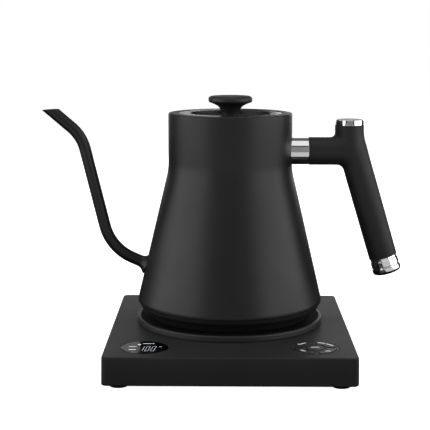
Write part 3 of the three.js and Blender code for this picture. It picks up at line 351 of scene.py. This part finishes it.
def new_mesh(name, points, faces):
    """A mesh from points in mm, with its faces turned outwards."""
    mesh = bpy.data.meshes.new(name)
    mesh.from_pydata([Vector(p) * MM for p in points], [], faces)
    shell = bmesh.new()
    shell.from_mesh(mesh)
    bmesh.ops.recalc_face_normals(shell, faces=shell.faces)
    shell.to_mesh(mesh)
    shell.free()
    return mesh


def turned(name, outline, place=KETTLE_AXIS, sides=144):
    """Turns an outline of (radius, height) about the upright axis of place.

    An outline that starts and ends on the axis makes a solid; any other closes on itself.
    """
    solid = outline[0][0] < 1e-6 and outline[-1][0] < 1e-6
    points, rows = [], []
    for radius, height in outline:
        if radius < 1e-6:
            rows.append([len(points)] * sides)
            points.append(place @ Vector((0, 0, height)))
            continue
        rows.append(range(len(points), len(points) + sides))
        for k in range(sides):
            angle = 2 * math.pi * k / sides
            points.append(place @ Vector((radius * math.cos(angle), radius * math.sin(angle), height)))
    if not solid:
        rows.append(rows[0])
    faces = []
    for lower, upper in zip(rows, rows[1:]):
        for k in range(sides):
            ring = [lower[k], lower[(k + 1) % sides], upper[(k + 1) % sides], upper[k]]
            faces.append(list(dict.fromkeys(ring)))
    return new_mesh(name, points, [face for face in faces if len(face) > 2])


def plate(name, outline, bottom, top, place=Matrix.Identity(4)):
    """An upright-walled plate with the given outline."""
    count = len(outline)
    points = [place @ Vector((x, y, z)) for z in (bottom, top) for x, y in outline]
    faces = [range(count), range(count, 2 * count)]
    faces += [[k, (k + 1) % count, count + (k + 1) % count, count + k] for k in range(count)]
    return new_mesh(name, points, faces)


def joined(name, meshes):
    """Several meshes as one."""
    whole = bmesh.new()
    for mesh in meshes:
        whole.from_mesh(mesh)
    mesh = bpy.data.meshes.new(name)
    whole.to_mesh(mesh)
    whole.free()
    return mesh


def settled(obj):
    """Bakes an object's modifiers into its mesh."""
    baked = bpy.data.meshes.new_from_object(obj.evaluated_get(bpy.context.evaluated_depsgraph_get()))
    obj.modifiers.clear()
    obj.data = baked


def carved(name, mesh, cutters):
    """Cuts each cutter mesh out of a mesh."""
    scene = bpy.context.scene.collection.objects
    body = bpy.data.objects.new(name, mesh)
    scene.link(body)
    for cutter_mesh in cutters:
        cutter = bpy.data.objects.new(name + "_cutter", cutter_mesh)
        scene.link(cutter)
        cut = body.modifiers.new("cut", "BOOLEAN")
        cut.operation = "DIFFERENCE"
        cut.solver = "EXACT"
        cut.object = cutter
        settled(body)
        bpy.data.objects.remove(cutter)
    result = body.data
    bpy.data.objects.remove(body)
    return result


MATERIALS = make_materials()


def show(name, mesh, finish, body, replaces=(), edge=0.0, crease=32):
    """Puts a mesh into the scene as a piece that rides on a body.

    edge rounds its sharp edges by that many mm; crease is the angle that stays a sharp line.
    """
    mesh.materials.clear()
    mesh.materials.append(MATERIALS[finish])
    piece = bpy.data.objects.new(name, mesh)
    bpy.context.scene.collection.objects.link(piece)
    if edge:
        rounding = piece.modifiers.new("rounding", "BEVEL")
        rounding.width = edge * MM
        rounding.segments = 3
        rounding.limit_method = "ANGLE"
        rounding.angle_limit = math.radians(40)
        settled(piece)
    piece.data.shade_smooth()
    piece.data.set_sharp_from_angle(angle=math.radians(crease))
    weighted = piece.modifiers.new("even_shading", "WEIGHTED_NORMAL")
    weighted.keep_sharp = True
    settled(piece)
    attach(piece, body)
    if replaces:
        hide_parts(*replaces)


def finish_cad(finish, *nodes):
    """Gives CAD nodes that stay in view a better material."""
    for node in nodes:
        materials = frame["nodes"][node].data.materials
        materials.clear()
        materials.append(MATERIALS[finish])


# ---------------------------------------------------------------- power base

BASE_CORNER = 3.3
BASE_DRAFT = 0.3
BASE_TOP_EDGE = 0.8
BASE_BOTTOM_EDGE = 1.2
DIAL_RADIUS = (highest("display_window").x - lowest("display_window").x) / 2
DIAL_GAP = 0.22
DIAL_POCKET = 4


def rounded_rectangle(half_width, half_depth, corner):
    return softened([(half_width, half_depth, corner), (-half_width, half_depth, corner),
                     (-half_width, -half_depth, corner), (half_width, -half_depth, corner)], closed=True)


def base_shell():
    """The square housing: a lofted shell with a drafted wall and both long edges rounded."""
    low, high = lowest("base_housing"), highest("base_housing")
    centre = (low + high) / 2
    half = (high - low) / 2
    profile = softened([
        (6, low.z), (0, low.z, BASE_BOTTOM_EDGE), (BASE_DRAFT, high.z, BASE_TOP_EDGE), (6, high.z),
    ])
    rows = []
    for inset, z in profile:
        outline = rounded_rectangle(half.x - inset, half.y - inset, BASE_CORNER)
        rows.append([(centre.x + x, centre.y + y, z) for x, y in outline])
    count = len(rows[0])
    points = [point for row in rows for point in row]
    faces = [range(count), range(len(points) - count, len(points))]
    for r in range(len(rows) - 1):
        for k in range(count):
            following = (k + 1) % count
            faces.append([r * count + k, r * count + following, (r + 1) * count + following,
                          (r + 1) * count + k])
    return new_mesh("base_shell", points, faces)


def above(node):
    """An upright axis through the middle of a CAD node."""
    return Matrix.Translation((middle(node).x, middle(node).y, 0))


def dial_cutter(node):
    """A round pocket with a fine chamfer at its mouth."""
    wall = DIAL_RADIUS + DIAL_GAP
    floor, mouth = BASE_TOP - DIAL_POCKET, BASE_TOP + 0.1
    return turned("pocket", [(0, floor), (wall, floor), (wall, BASE_TOP - 0.25), (wall + 0.35, mouth),
                             (0, mouth)], above(node), 96)


def gland_place():
    """Turns an upright outline so that its +Z comes out of the back wall, at the cord outlet."""
    gland = middle("cord_gland")
    outlet = Matrix.Translation((gland.x, highest("base_housing").y, gland.z))
    return outlet @ Matrix.Rotation(-math.pi / 2, 4, "X")


def show_base():
    spigot_hole = 19.3
    centre_hole = turned("disc_pocket", [(0, BASE_TOP - 2), (spigot_hole, BASE_TOP - 2),
                                         (spigot_hole, BASE_TOP + 1), (0, BASE_TOP + 1)])
    cord_hole = turned("cord_pocket", [(0, -4), (5.9, -4), (5.9, 1), (0, 1)], gland_place(), 64)
    shell = carved("base_shell", base_shell(), [
        dial_cutter("display_window"), dial_cutter("keypad_bezel"), centre_hole, cord_hole])
    show("base_shell", shell, "moulded_abs", "base", ["base_housing"])

    disc_radius = highest("rest_disc").x - KETTLE_X
    pad_radius = disc_radius - 2.2
    pad_floor = DISC_TOP - 0.6
    bore = 14
    disc = turned("rest_disc_turned", softened([
        (bore, BASE_TOP + 0.1), (disc_radius - 0.5, BASE_TOP + 0.1), (disc_radius, BASE_TOP + 0.5, 0.2),
        (disc_radius, DISC_TOP, 1.1), (pad_radius, DISC_TOP, 0.2), (pad_radius, pad_floor),
        (bore + 3, pad_floor, 1), (bore, DISC_TOP - 1.2, 0.3),
    ], closed=True), sides=200)
    show("rest_disc_turned", disc, "satin_abs", "base", ["rest_disc"])

    # The near-black pad inside the disc's rim is painted shade: it stands in for the kettle's shadow on the
    # disc.
    pad = turned("disc_painted_shade_pad", softened([
        (bore + 4, pad_floor), (pad_radius - 0.1, pad_floor),
        (pad_radius - 0.1, DISC_TOP - 0.15, 0.2), (bore + 4, DISC_TOP - 0.15, 0.2),
    ], closed=True), sides=200)
    show("disc_painted_shade_pad", pad, "painted_shade_pad", "base")

    top = highest("connector_tower").z
    pin_hole, slot_inner, slot_outer, tower_radius = 2.2, 6.3, 10.3, 13.5
    slot_floor = top - 15
    tower = turned("tower_turned", softened([
        (pin_hole, BASE_TOP), (tower_radius, BASE_TOP), (tower_radius, top, 0.9), (slot_outer, top, 0.3),
        (slot_outer, slot_floor, 0.3), (slot_inner, slot_floor, 0.3), (slot_inner, top, 0.3),
        (pin_hole, top, 0.4),
    ], closed=True), sides=96)
    show("tower_turned", tower, "moulded_nylon", "base", ["connector_tower"])

    cord_bore, gland_neck, gland_flange = 3.6, 5.6, 7.2
    gland = turned("gland_turned", softened([
        (cord_bore, -6), (gland_neck, -6), (gland_neck, 0.3), (gland_flange, 0.3, 0.2),
        (gland_flange, 1.45, 0.5), (4.6, 1.45, 0.3), (cord_bore, 0.6, 0.3),
    ], closed=True), gland_place(), 72)
    show("gland_turned", gland, "moulded_rubber", "base", ["cord_gland"])

    for corner in ("front_left", "front_right", "rear_left", "rear_right"):
        name = "foot_" + corner
        foot = turned(name + "_turned", softened([
            (0, 0.35), (2.2, 0.35, 0.2), (2.6, 0, 0.2), (4.4, 0, 0.2), (4.8, 0.35, 0.2), (5.2, 0, 0.2),
            (6.1, 0, 0.4), (6.4, 2.3, 0.4), (0, 2.3),
        ]), above(name), 64)
        show(name + "_turned", foot, "moulded_rubber", "base", [name])
        finish_cad("zinc_plated_screw", "base_screw_" + corner)

    finish_cad("moulded_nylon", "base_bottom_plate", "display_holder", "transformer", "power_relay",
               "buzzer")
    finish_cad("stamped_brass", "contact_pin", "contact_ring_outer", "contact_ring_inner")
    finish_cad("solder_mask_board", "control_board", "power_board")
    finish_cad("black_acrylic", "display_panel")


# ---------------------------------------------------------------- display

SPLIT = -3.9                    # where the touch field ends, from the display's middle
DIGIT_WIDTH = 2.2
DIGIT_HEIGHT = 11.4
DIGIT_PITCH = 3.9
DIGIT_BAR = 0.26
DIGIT_SLANT = 0.12
PRINT_THICK = 0.05


def bar(start, end, width, bottom, place):
    """A flat bar with round ends between two points, lying on a surface."""
    start, end = Vector(start), Vector(end)
    along = (end - start).normalized()
    side = Vector((-along.y, along.x)) * width / 2
    turn = math.atan2(along.y, along.x)
    outline = []
    for centre, first in ((end, turn - math.pi / 2), (start, turn + math.pi / 2)):
        for k in range(9):
            angle = first + math.pi * k / 8
            outline.append(centre + Vector((math.cos(angle), math.sin(angle))) * side.length)
    return plate("bar", outline, bottom, bottom + PRINT_THICK, place)


def digit_bars(shape, left, base, place, bottom):
    """The lit bars of one digit.

    shape names them: t top, r upper right, s lower right, f foot, l lower left, u upper left.
    """
    ends = {
        "t": ((0, 1), (1, 1)), "r": ((1, 0.5), (1, 1)), "s": ((1, 0), (1, 0.5)),
        "f": ((0, 0), (1, 0)), "l": ((0, 0), (0, 0.5)), "u": ((0, 0.5), (0, 1)),
    }
    bars = []
    for key in shape:
        start, end = (Vector((left + x * DIGIT_WIDTH + y * DIGIT_HEIGHT * DIGIT_SLANT,
                              base + y * DIGIT_HEIGHT)) for x, y in ends[key])
        gap = (end - start).normalized() * DIGIT_BAR * 0.62
        bars.append(bar(start + gap, end - gap, DIGIT_BAR, bottom, place))
    return bars


def show_display():
    place = above("display_window")
    low, top = lowest("display_window").z, highest("display_window").z
    glass = turned("display_glass", softened([
        (0, low), (DIAL_RADIUS, low), (DIAL_RADIUS, top, 0.35), (0, top),
    ]), place, 120)
    show("display_glass", glass, "black_acrylic", "base", ["display_window"])

    field_radius = DIAL_RADIUS - 0.5
    opening = math.acos(-SPLIT / field_radius)
    field = [Vector((-field_radius * math.cos(a), field_radius * math.sin(a)))
             for a in np.linspace(-opening, opening, 60)]
    show("touch_field", plate("touch_field", field, top, top + PRINT_THICK, place), "satin_print", "base")

    ink = top + PRINT_THICK
    # The printed marks use ink with a faint painted glow.
    marks = [bar((-10.3, 1.6), (-6.0, 1.6), 1.1, ink, place),
             bar((-9.9, -5.6), (-6.2, -5.6), 1.3, ink, place)]
    show("touch_field_marks", joined("touch_field_marks", marks), "white_ink_with_painted_glow", "base")
    lamp = turned("power_lamp", softened([(0, top), (1.15, top), (1.15, top + 0.12, 0.1), (0, top + 0.12)]),
                  place @ Matrix.Translation((-4.1, 6.8, 0)), 32)
    show("power_lamp", lamp, "lit_segment", "base")

    digits = []
    for i, shape in enumerate(("rs", "trsflu", "trsflu")):
        digits += digit_bars(shape, -3.6 + i * DIGIT_PITCH, -8.9, place, top)
    digits += [bar((9.8, 1.7), (11.1, 1.7), 0.7, top, place), bar((-1.4, 9.6), (3.6, 9.6), 1.0, top, place),
               bar((4.9, 9.6), (5.6, 9.6), 1.0, top, place)]
    show("display_digits", joined("display_digits", digits), "lit_segment", "base")


# ---------------------------------------------------------------- keypad

KEY_RIM = 1.2
KEY_RIB = 2.5
KEY_GAP = 0.45
CENTRE_KEY = 6.2
CENTRE_RING = 1.1
KEY_ROUND = 0.7


def quarter_outline(inner, outer, clear):
    """A quarter ring in the first quadrant, kept clear of both axes, with its four corners rounded."""
    outer_turn, inner_turn = math.asin(clear / outer), math.asin(clear / inner)
    skip = 1.5 * KEY_ROUND
    corners = [(outer * math.cos(outer_turn), clear, KEY_ROUND)]
    for a in np.linspace(outer_turn + skip / outer, math.pi / 2 - outer_turn - skip / outer, 18):
        corners.append((outer * math.cos(a), outer * math.sin(a)))
    corners.append((clear, outer * math.cos(outer_turn), KEY_ROUND))
    corners.append((clear, inner * math.cos(inner_turn), KEY_ROUND * 0.6))
    for a in np.linspace(math.pi / 2 - inner_turn - skip / inner, inner_turn + skip / inner, 10):
        corners.append((inner * math.cos(a), inner * math.sin(a)))
    corners.append((inner * math.cos(inner_turn), clear, KEY_ROUND * 0.6))
    return softened(corners, closed=True)


def show_keypad():
    place = above("keypad_bezel")
    top = highest("keypad_bezel").z
    key_top = highest("key_centre").z
    rim = DIAL_RADIUS - KEY_RIM
    hole = CENTRE_KEY + KEY_GAP
    ring = hole + CENTRE_RING
    well = top - 1.5
    cap_bottom = well + 0.7
    half = KEY_RIB / 2
    frame_parts = [
        turned("rim", softened([(rim, well), (DIAL_RADIUS, well), (DIAL_RADIUS, top, 0.35), (rim, top, 0.25)],
                               closed=True), place, 120),
        turned("middle_ring", softened([(hole, well), (ring, well), (ring, top, 0.25), (hole, top, 0.25)],
                                       closed=True), place, 96),
        turned("well", [(0, well - 0.5), (rim + 0.2, well - 0.5), (rim + 0.2, well), (0, well)], place, 96),
    ]
    for k in range(4):
        rib = plate("rib", [(ring - 0.3, -half), (rim + 0.3, -half), (rim + 0.3, half), (ring - 0.3, half)],
                    well, top, place @ Matrix.Rotation(k * math.pi / 2, 4, "Z"))
        frame_parts.append(rib)
    show("keypad_frame", joined("keypad_frame", frame_parts), "matt_key", "base", ["keypad_bezel"],
         edge=0.15)

    outline = quarter_outline(ring + KEY_GAP, rim - KEY_GAP, half + KEY_GAP)
    for k, corner in enumerate(("rear_right", "rear_left", "front_left", "front_right")):
        turn = place @ Matrix.Rotation(k * math.pi / 2, 4, "Z")
        show(corner + "_cap", plate(corner + "_cap", outline, cap_bottom, key_top, turn), "matt_key",
             corner + "_key", ["key_" + corner], edge=0.3)
    centre_cap = turned("key_centre_cap", softened([
        (0, cap_bottom), (CENTRE_KEY, cap_bottom), (CENTRE_KEY, key_top, 0.4), (4.4, key_top, 3),
        (0, key_top - 0.18),
    ]), place, 96)
    show("centre_cap", centre_cap, "matt_key", "centre_key", ["key_centre"])

    marks = {
        "rear_left": [((-11.0, 8.55), (-9.7, 8.5)), ((-9.7, 8.5), (-5.9, 11.9))],
        "rear_right": [((2.9, 12.9), (7.3, 10.9)), ((8.8, 9.6), (12.2, 5.2))],
        "front_left": [((-9.9, -5.9), (-7.5, -8.7))],
        "front_right": [((6.5, -8.3), (9.3, -8.3))],
        "centre": [((-4.6, 1.3), (4.2, 1.3))],
    }
    # The printed key marks use ink with a faint painted glow.
    for name, strokes in marks.items():
        bottom = key_top - (0.1 if name == "centre" else 0)
        printed = [bar(start, end, 0.95, bottom, place) for start, end in strokes]
        show(name + "_mark", joined(name + "_mark", printed), "white_ink_with_painted_glow", name + "_key")
    finish_cad("milky_silicone", "key_dome_mat")


# ---------------------------------------------------------------- kettle body

NECK_RADIUS = 44.65
NECK_START = BODY_TOP - 40.4
BODY_RADIUS = highest("kettle_body").x - KETTLE_X
CONE_FOOT = BODY_BOTTOM + 2
CONE_SLOPE = (BODY_RADIUS - NECK_RADIUS) / (NECK_START - CONE_FOOT)
SHEET = 1.0


def cone_radius(z):
    """The body's outer radius at a height."""
    return NECK_RADIUS + max(NECK_START - z, 0) * CONE_SLOPE


def kettle_shell():
    """The steel sheet of the body, with its flat rim and the stepped well that the lid drops into."""
    mouth, well, foot_hole = 37.3, 35.6, 64.8
    seat = BODY_TOP - 3.4
    well_foot = seat - 8.2
    return turned("kettle_shell", softened([
        (foot_hole, BODY_BOTTOM, 0.2), (BODY_RADIUS - 0.15, BODY_BOTTOM, 0.6), (BODY_RADIUS, CONE_FOOT, 8),
        (NECK_RADIUS, NECK_START, 50), (NECK_RADIUS, BODY_TOP, 0.9), (mouth, BODY_TOP, 0.5),
        (mouth, seat, 0.4), (well, seat, 0.5), (well, well_foot, 0.4), (well + SHEET, well_foot, 0.4),
        (well + SHEET, seat - SHEET, 0.4), (mouth + SHEET, seat - SHEET, 0.4),
        (mouth + SHEET, BODY_TOP - SHEET, 0.4), (NECK_RADIUS - SHEET, BODY_TOP - SHEET, 0.4),
        (NECK_RADIUS - SHEET, NECK_START, 48), (BODY_RADIUS - SHEET, CONE_FOOT + 1, 1),
        (foot_hole, CONE_FOOT + 1, 0.2),
    ], closed=True), sides=216)


SPOUT_RADIUS = 4.3
SPOUT_BORE = 3.4
SPOUT_SIDES = 40
WELD_FLARE = 3.2
WELD_REACH = 5.5
SPOUT_ROUTE = [(-48, 58.08), (-87.28, 75.18, 35), (-107.26, 157.37, 30), (-138, 183.7)]
SPOUT_LIP = (-129.5, 176.6)
SPOUT_LIP_TILT = math.radians(3.6)


def spaced(line, step):
    """Points along a line, no further apart than step."""
    points = [line[0]]
    for a, b in zip(line, line[1:]):
        parts = max(1, math.ceil((b - a).length / step))
        points += [a.lerp(b, k / parts) for k in range(1, parts + 1)]
    return points


def spout_tube():
    """A bent tube with a flared weld at its root and its tip cut level."""
    line = spaced(softened(SPOUT_ROUTE), 1.6)
    points, rows = [], []
    for wall in ("outside", "inside"):
        for i, here in enumerate(line):
            along = (line[min(i + 1, len(line) - 1)] - line[max(i - 1, 0)]).normalized()
            across = Vector((along.y, -along.x))
            out = -here.x - cone_radius(here.y)
            flare = max(0.0, 1 - max(out, 0) / WELD_REACH) ** 2.4 * WELD_FLARE
            radius = SPOUT_RADIUS + flare if wall == "outside" else SPOUT_BORE
            rows.append(range(len(points), len(points) + SPOUT_SIDES))
            for k in range(SPOUT_SIDES):
                angle = 2 * math.pi * k / SPOUT_SIDES
                point = here + across * radius * math.cos(angle)
                points.append(KETTLE_AXIS @ Vector((point.x, radius * math.sin(angle), point.y)))
    faces = []
    half = len(line)
    pairs = [(r, r + 1) for r in range(half - 1)] + [(half + r, half + r + 1) for r in range(half - 1)]
    for lower, upper in pairs + [(0, half), (half - 1, 2 * half - 1)]:
        for k in range(SPOUT_SIDES):
            following = (k + 1) % SPOUT_SIDES
            faces.append([rows[lower][k], rows[lower][following], rows[upper][following], rows[upper][k]])
    mesh = new_mesh("spout_tube", points, faces)
    tip = bmesh.new()
    tip.from_mesh(mesh)
    level = Vector((-math.sin(SPOUT_LIP_TILT), 0, math.cos(SPOUT_LIP_TILT)))
    at = KETTLE_AXIS @ Vector((SPOUT_LIP[0], 0, SPOUT_LIP[1])) * MM
    bmesh.ops.bisect_plane(tip, geom=tip.verts[:] + tip.edges[:] + tip.faces[:], plane_co=at, plane_no=level,
                           clear_outer=True)
    bmesh.ops.bridge_loops(tip, edges=[edge for edge in tip.edges if edge.is_boundary])
    bmesh.ops.recalc_face_normals(tip, faces=tip.faces)
    tip.to_mesh(mesh)
    tip.free()
    return mesh


def show_body():
    root, corner = Vector(SPOUT_ROUTE[0]), Vector(SPOUT_ROUTE[1][:2])
    run = corner - root
    tilt = math.atan2(run.x, run.y)
    bore_place = KETTLE_AXIS @ Matrix.Translation((root.x, 0, root.y)) @ Matrix.Rotation(tilt, 4, "Y")
    bore = turned("bore", [(0, 0), (SPOUT_BORE, 0), (SPOUT_BORE, 30), (0, 30)], bore_place, 40)
    shell = carved("kettle_shell", kettle_shell(), [bore])
    show("kettle_shell", shell, "powder_coated_steel", "kettle", ["kettle_body"])
    show("spout_tube", spout_tube(), "powder_coated_steel", "kettle", ["spout"], edge=0.12)

    low = lowest("bottom_cover").z
    screw_head = 3.1
    pocket = [(0, low - 1), (screw_head, low - 1), (screw_head, low + 3), (0, low + 3)]
    screws = [turned("screw_pocket", pocket, above(name), 32)
              for name in ("cover_screw_1", "cover_screw_2", "cover_screw_3")]
    coupler_hole, foot, brim, cover_top = 22.1, 57.6, 65.3, BODY_BOTTOM - 0.3
    cover = turned("cover_turned", softened([
        (coupler_hole, low, 0.4), (foot, low, 0.6), (foot + 1.8, low + 5.2, 1), (brim, low + 5.6, 4.2),
        (brim, cover_top), (brim - 2, cover_top), (brim - 2, low + 7.6, 3), (foot, low + 7.2, 1),
        (foot - 1.8, low + 2, 0.6), (coupler_hole, low + 2),
    ], closed=True), sides=200)
    show("cover_turned", carved("cover_turned", cover, screws), "moulded_nylon", "kettle", ["bottom_cover"])
    finish_cad("zinc_plated_screw", "cover_screw_1", "cover_screw_2", "cover_screw_3")
    finish_cad("brushed_stainless", "heater_plate", "temperature_probe", "heating_element",
               "element_terminal_left", "element_terminal_right", "handle_stud", "handle_weight_stud")
    finish_cad("cast_aluminium", "diffuser_plate", "thermal_cutout")
    finish_cad("milky_silicone", "probe_seal")
    finish_cad("moulded_nylon", "kettle_coupler")
    finish_cad("milky_silicone", "coupler_seal")


# ---------------------------------------------------------------- handle

ARM_RADIUS = 10.05
ARM_START = highest("handle_collar").x - KETTLE_X + 0.3
UPRIGHT_RADIUS = 10.4
GRIP_RADIUS = 10.2
GRIP_BEND = 45
GRIP_TOP = highest("handle_grip").z
GRIP_CORNER = (UPRIGHT_X, ARM_HEIGHT + 9.7, GRIP_BEND)
GRIP_END = (UPRIGHT_X + 26.3, ARM_HEIGHT - 77)
JUNCTION_BLEND = 4.2
GRIP_LEAN = math.atan2(GRIP_END[0] - GRIP_CORNER[0], GRIP_CORNER[1] - GRIP_END[1])
VOXEL = 0.9


def distance_to_line(points, line):
    """How far each point is from a line in the plane y = 0."""
    nearest = np.full(len(points), 1e9)
    for a, b in zip(line, line[1:]):
        start, run = np.array((a.x, 0, a.y)), np.array((b.x - a.x, 0, b.y - a.y))
        share = np.clip((points - start) @ run / (run @ run), 0, 1)
        nearest = np.minimum(nearest, np.linalg.norm(points - start - share[:, None] * run, axis=1))
    return nearest


def grip_field(points, line):
    """Signed distance to the grip's skin: the arm and the upright, blended where they meet."""
    height = np.clip((points[:, 2] - GRIP_END[1]) / 60, 0, 1)
    bent = distance_to_line(points, line) - (GRIP_RADIUS + (UPRIGHT_RADIUS - GRIP_RADIUS) * height)
    arm_line = [Vector((ARM_START - 20, ARM_HEIGHT)), Vector((UPRIGHT_X, ARM_HEIGHT))]
    arm = distance_to_line(points, arm_line) - ARM_RADIUS
    meet = np.maximum(JUNCTION_BLEND - np.abs(bent - arm), 0) / JUNCTION_BLEND
    return np.minimum(bent, arm) - meet ** 2 * JUNCTION_BLEND / 4


def grip_mesh():
    """Rough rods joined by a voxel remesh, drawn onto the exact skin, then cut square at the ends."""
    over = 6
    end = Vector(GRIP_END) + Vector((math.sin(GRIP_LEAN), -math.cos(GRIP_LEAN))) * over
    line = softened([(UPRIGHT_X, GRIP_TOP + over), GRIP_CORNER, tuple(end)])
    junction = Vector((UPRIGHT_X, ARM_HEIGHT))
    arm_end = Vector((ARM_START - over, ARM_HEIGHT))
    rods = []
    for a, b, radius in ((line[0], line[-1], GRIP_RADIUS), (line[0], junction, UPRIGHT_RADIUS),
                         (arm_end, junction, ARM_RADIUS), (Vector(GRIP_CORNER[:2]), line[-1], GRIP_RADIUS)):
        run = b - a
        place = Matrix.Translation((a.x, 0, a.y)) @ Matrix.Rotation(math.atan2(run.x, run.y), 4, "Y")
        rods.append(turned("rod", [(0, 0), (radius, 0), (radius, run.length), (0, run.length)], place, 48))
    rough = bpy.data.objects.new("grip", joined("grip", rods))
    bpy.context.scene.collection.objects.link(rough)
    remesh = rough.modifiers.new("remesh", "REMESH")
    remesh.mode = "VOXEL"
    remesh.voxel_size = VOXEL * MM
    settled(rough)
    mesh = rough.data
    bpy.data.objects.remove(rough)

    points = np.zeros(len(mesh.vertices) * 3)
    mesh.vertices.foreach_get("co", points)
    points = points.reshape(-1, 3) / MM
    small = 0.02
    for _ in range(6):
        value = grip_field(points, line)
        slope = np.stack([(grip_field(points + step, line) - grip_field(points - step, line)) / (2 * small)
                          for step in np.eye(3) * small], axis=1)
        points -= slope * (value / np.maximum((slope ** 2).sum(1), 0.2))[:, None]
    mesh.vertices.foreach_set("co", (points * MM).ravel())
    mesh.update()

    skin = bmesh.new()
    skin.from_mesh(mesh)
    lean = (math.sin(GRIP_LEAN), 0, -math.cos(GRIP_LEAN))
    for at, outwards in (((UPRIGHT_X, 0, GRIP_TOP), (0, 0, 1)), ((ARM_START, 0, ARM_HEIGHT), (-1, 0, 0)),
                         ((GRIP_END[0], 0, GRIP_END[1]), lean)):
        bmesh.ops.bisect_plane(skin, geom=skin.verts[:] + skin.edges[:] + skin.faces[:],
                               plane_co=Vector(at) * MM, plane_no=outwards, clear_outer=True)
        bmesh.ops.holes_fill(skin, edges=[edge for edge in skin.edges if edge.is_boundary])
    skin.transform(Matrix.Translation((KETTLE_X * MM, KETTLE_Y * MM, 0)))
    bmesh.ops.recalc_face_normals(skin, faces=skin.faces)
    skin.to_mesh(mesh)
    skin.free()
    return mesh


def show_handle():
    show("grip_skin", grip_mesh(), "soft_touch_grip", "kettle", ["handle_grip"], crease=50)

    arm_axis = KETTLE_AXIS @ Matrix.Translation((0, 0, ARM_HEIGHT)) @ Matrix.Rotation(math.pi / 2, 4, "Y")
    stud_hole, collar_radius, collar_start = 3.3, 9.7, 43.6
    collar_end = highest("handle_collar").x - KETTLE_X
    collar = turned("collar_turned", softened([
        (stud_hole, collar_start), (collar_radius, collar_start), (collar_radius, collar_end - 1.5),
        (collar_radius, collar_end, 0.35), (stud_hole, collar_end),
    ], closed=True), arm_axis, 120)
    show("collar_turned", collar, "polished_stainless", "kettle", ["handle_collar"])

    top = highest("handle_top_cap").z
    cap_axis = KETTLE_AXIS @ Matrix.Translation((UPRIGHT_X, 0, 0))
    cap_bottom, face_edge = GRIP_TOP + 0.25, 9.4
    cap = turned("cap_turned", softened([
        (0, GRIP_TOP - 6), (5, GRIP_TOP - 6), (5, cap_bottom), (ARM_RADIUS, cap_bottom, 0.15),
        (ARM_RADIUS, top, 0.45), (face_edge, top), (face_edge, top - 0.3), (0, top - 0.3),
    ]), cap_axis, 120)
    show("cap_turned", cap, "polished_stainless", "kettle", ["handle_top_cap"])
    # The end face's dark metal tone is painted shade; its roughness is the satin finish.
    face = turned("cap_face", [(0, top - 0.2), (9.3, top - 0.2), (9.3, top), (0, top)], cap_axis, 120)
    show("cap_face", face, "satin_stainless_painted_shade", "kettle")

    end_axis = (KETTLE_AXIS @ Matrix.Translation((GRIP_END[0], 0, GRIP_END[1]))
                @ Matrix.Rotation(-GRIP_LEAN, 4, "Y"))
    weight = turned("weight_turned", softened([
        (0, -12.3), (10.4, -12.3, 2.3), (10.4, -7.7, 0.25), (9.75, -7.3, 0.2), (9.75, -6.8, 0.2),
        (10.05, -6.4, 0.25), (10.05, -2.4, 0.25), (9.6, -1.9, 0.2), (9.6, -0.3), (0, -0.3),
    ]), end_axis, 120)
    show("weight_turned", weight, "polished_stainless", "kettle", ["handle_weight"])


# ---------------------------------------------------------------- lid

def show_lid():
    top = highest("lid_cap").z
    floor = top - 4
    rim = highest("lid_cap").x - KETTLE_X
    dish, screw_hole = 29.2, 2.3
    cap = turned("lid_pressing", softened([
        (screw_hole, floor - SHEET), (dish + SHEET, floor - SHEET, 0.6), (dish + SHEET, top - SHEET, 0.4),
        (rim - SHEET, top - SHEET, 0.3), (rim - SHEET, top - 3), (rim, top - 3, 0.1), (rim, top, 0.5),
        (dish, top, 0.6), (dish, floor, 1.0), (screw_hole, floor),
    ], closed=True), sides=180)
    show("lid_pressing", cap, "powder_coated_lid", "lid", ["lid_cap"])

    foot, knob_top = lowest("lid_knob").z, highest("lid_knob").z
    neck, disc = 6.1, 15.8
    knob = turned("knob_turned", softened([
        (0, foot), (neck, foot, 0.2), (neck, foot + 3, 16), (8.3, knob_top - 7.4, 7),
        (12.4, knob_top - 5.4, 6), (disc, knob_top - 4.2, 1.6), (disc, knob_top - 1.2, 1.3),
        (14.2, knob_top, 2), (0, knob_top),
    ]), sides=144)
    show("knob_turned", knob, "satin_abs", "lid", ["lid_knob"])

    low, high = lowest("lid_plug").z, highest("lid_plug").z
    head_hole, groove, skirt, skirt_inside = 4.3, 33.3, 34.3, 31.7
    plug = turned("plug_turned", softened([
        (screw_hole, low + 2.2), (head_hole, low + 2.2), (head_hole, low, 0.3), (skirt, low, 0.7),
        (skirt, low + 3), (groove, low + 3, 0.2), (groove, low + 5.4, 0.2), (skirt, low + 5.4),
        (skirt, high), (skirt_inside, high), (skirt_inside, low + 2.6, 0.6), (7, low + 2.6, 0.6),
        (7, high), (screw_hole, high),
    ], closed=True), sides=144)
    show("plug_turned", plug, "moulded_nylon", "lid", ["lid_plug"])

    low, high = lowest("lid_gasket").z, highest("lid_gasket").z
    root, lip = 33.5, 35.35
    gasket = turned("gasket_turned", softened([
        (root, low), (34.6, low, 0.2), (lip, low + 0.6, 0.4), (lip, high - 0.6, 0.4), (34.6, high, 0.2),
        (root, high),
    ], closed=True), sides=144)
    show("gasket_turned", gasket, "milky_silicone", "lid", ["lid_gasket"])
    finish_cad("moulded_rubber", "knob_washer")
    finish_cad("zinc_plated_screw", "knob_screw")


# ---------------------------------------------------------------- floor

def show_floor():
    """A wide plain floor under the feet. The object picks up neither gloss nor bounced light from it."""
    reach, thickness = 3000, 20
    mesh = plate("floor", rounded_rectangle(reach, reach, reach / 4), -thickness, 0)
    mesh.materials.append(MATERIALS["paper_floor"])
    floor = bpy.data.objects.new("floor", mesh)
    bpy.context.scene.collection.objects.link(floor)
    floor.visible_diffuse = False
    floor.visible_glossy = False


add_camera()
add_studio()
show_base()
show_display()
show_keypad()
show_body()
show_handle()
show_lid()
show_floor()
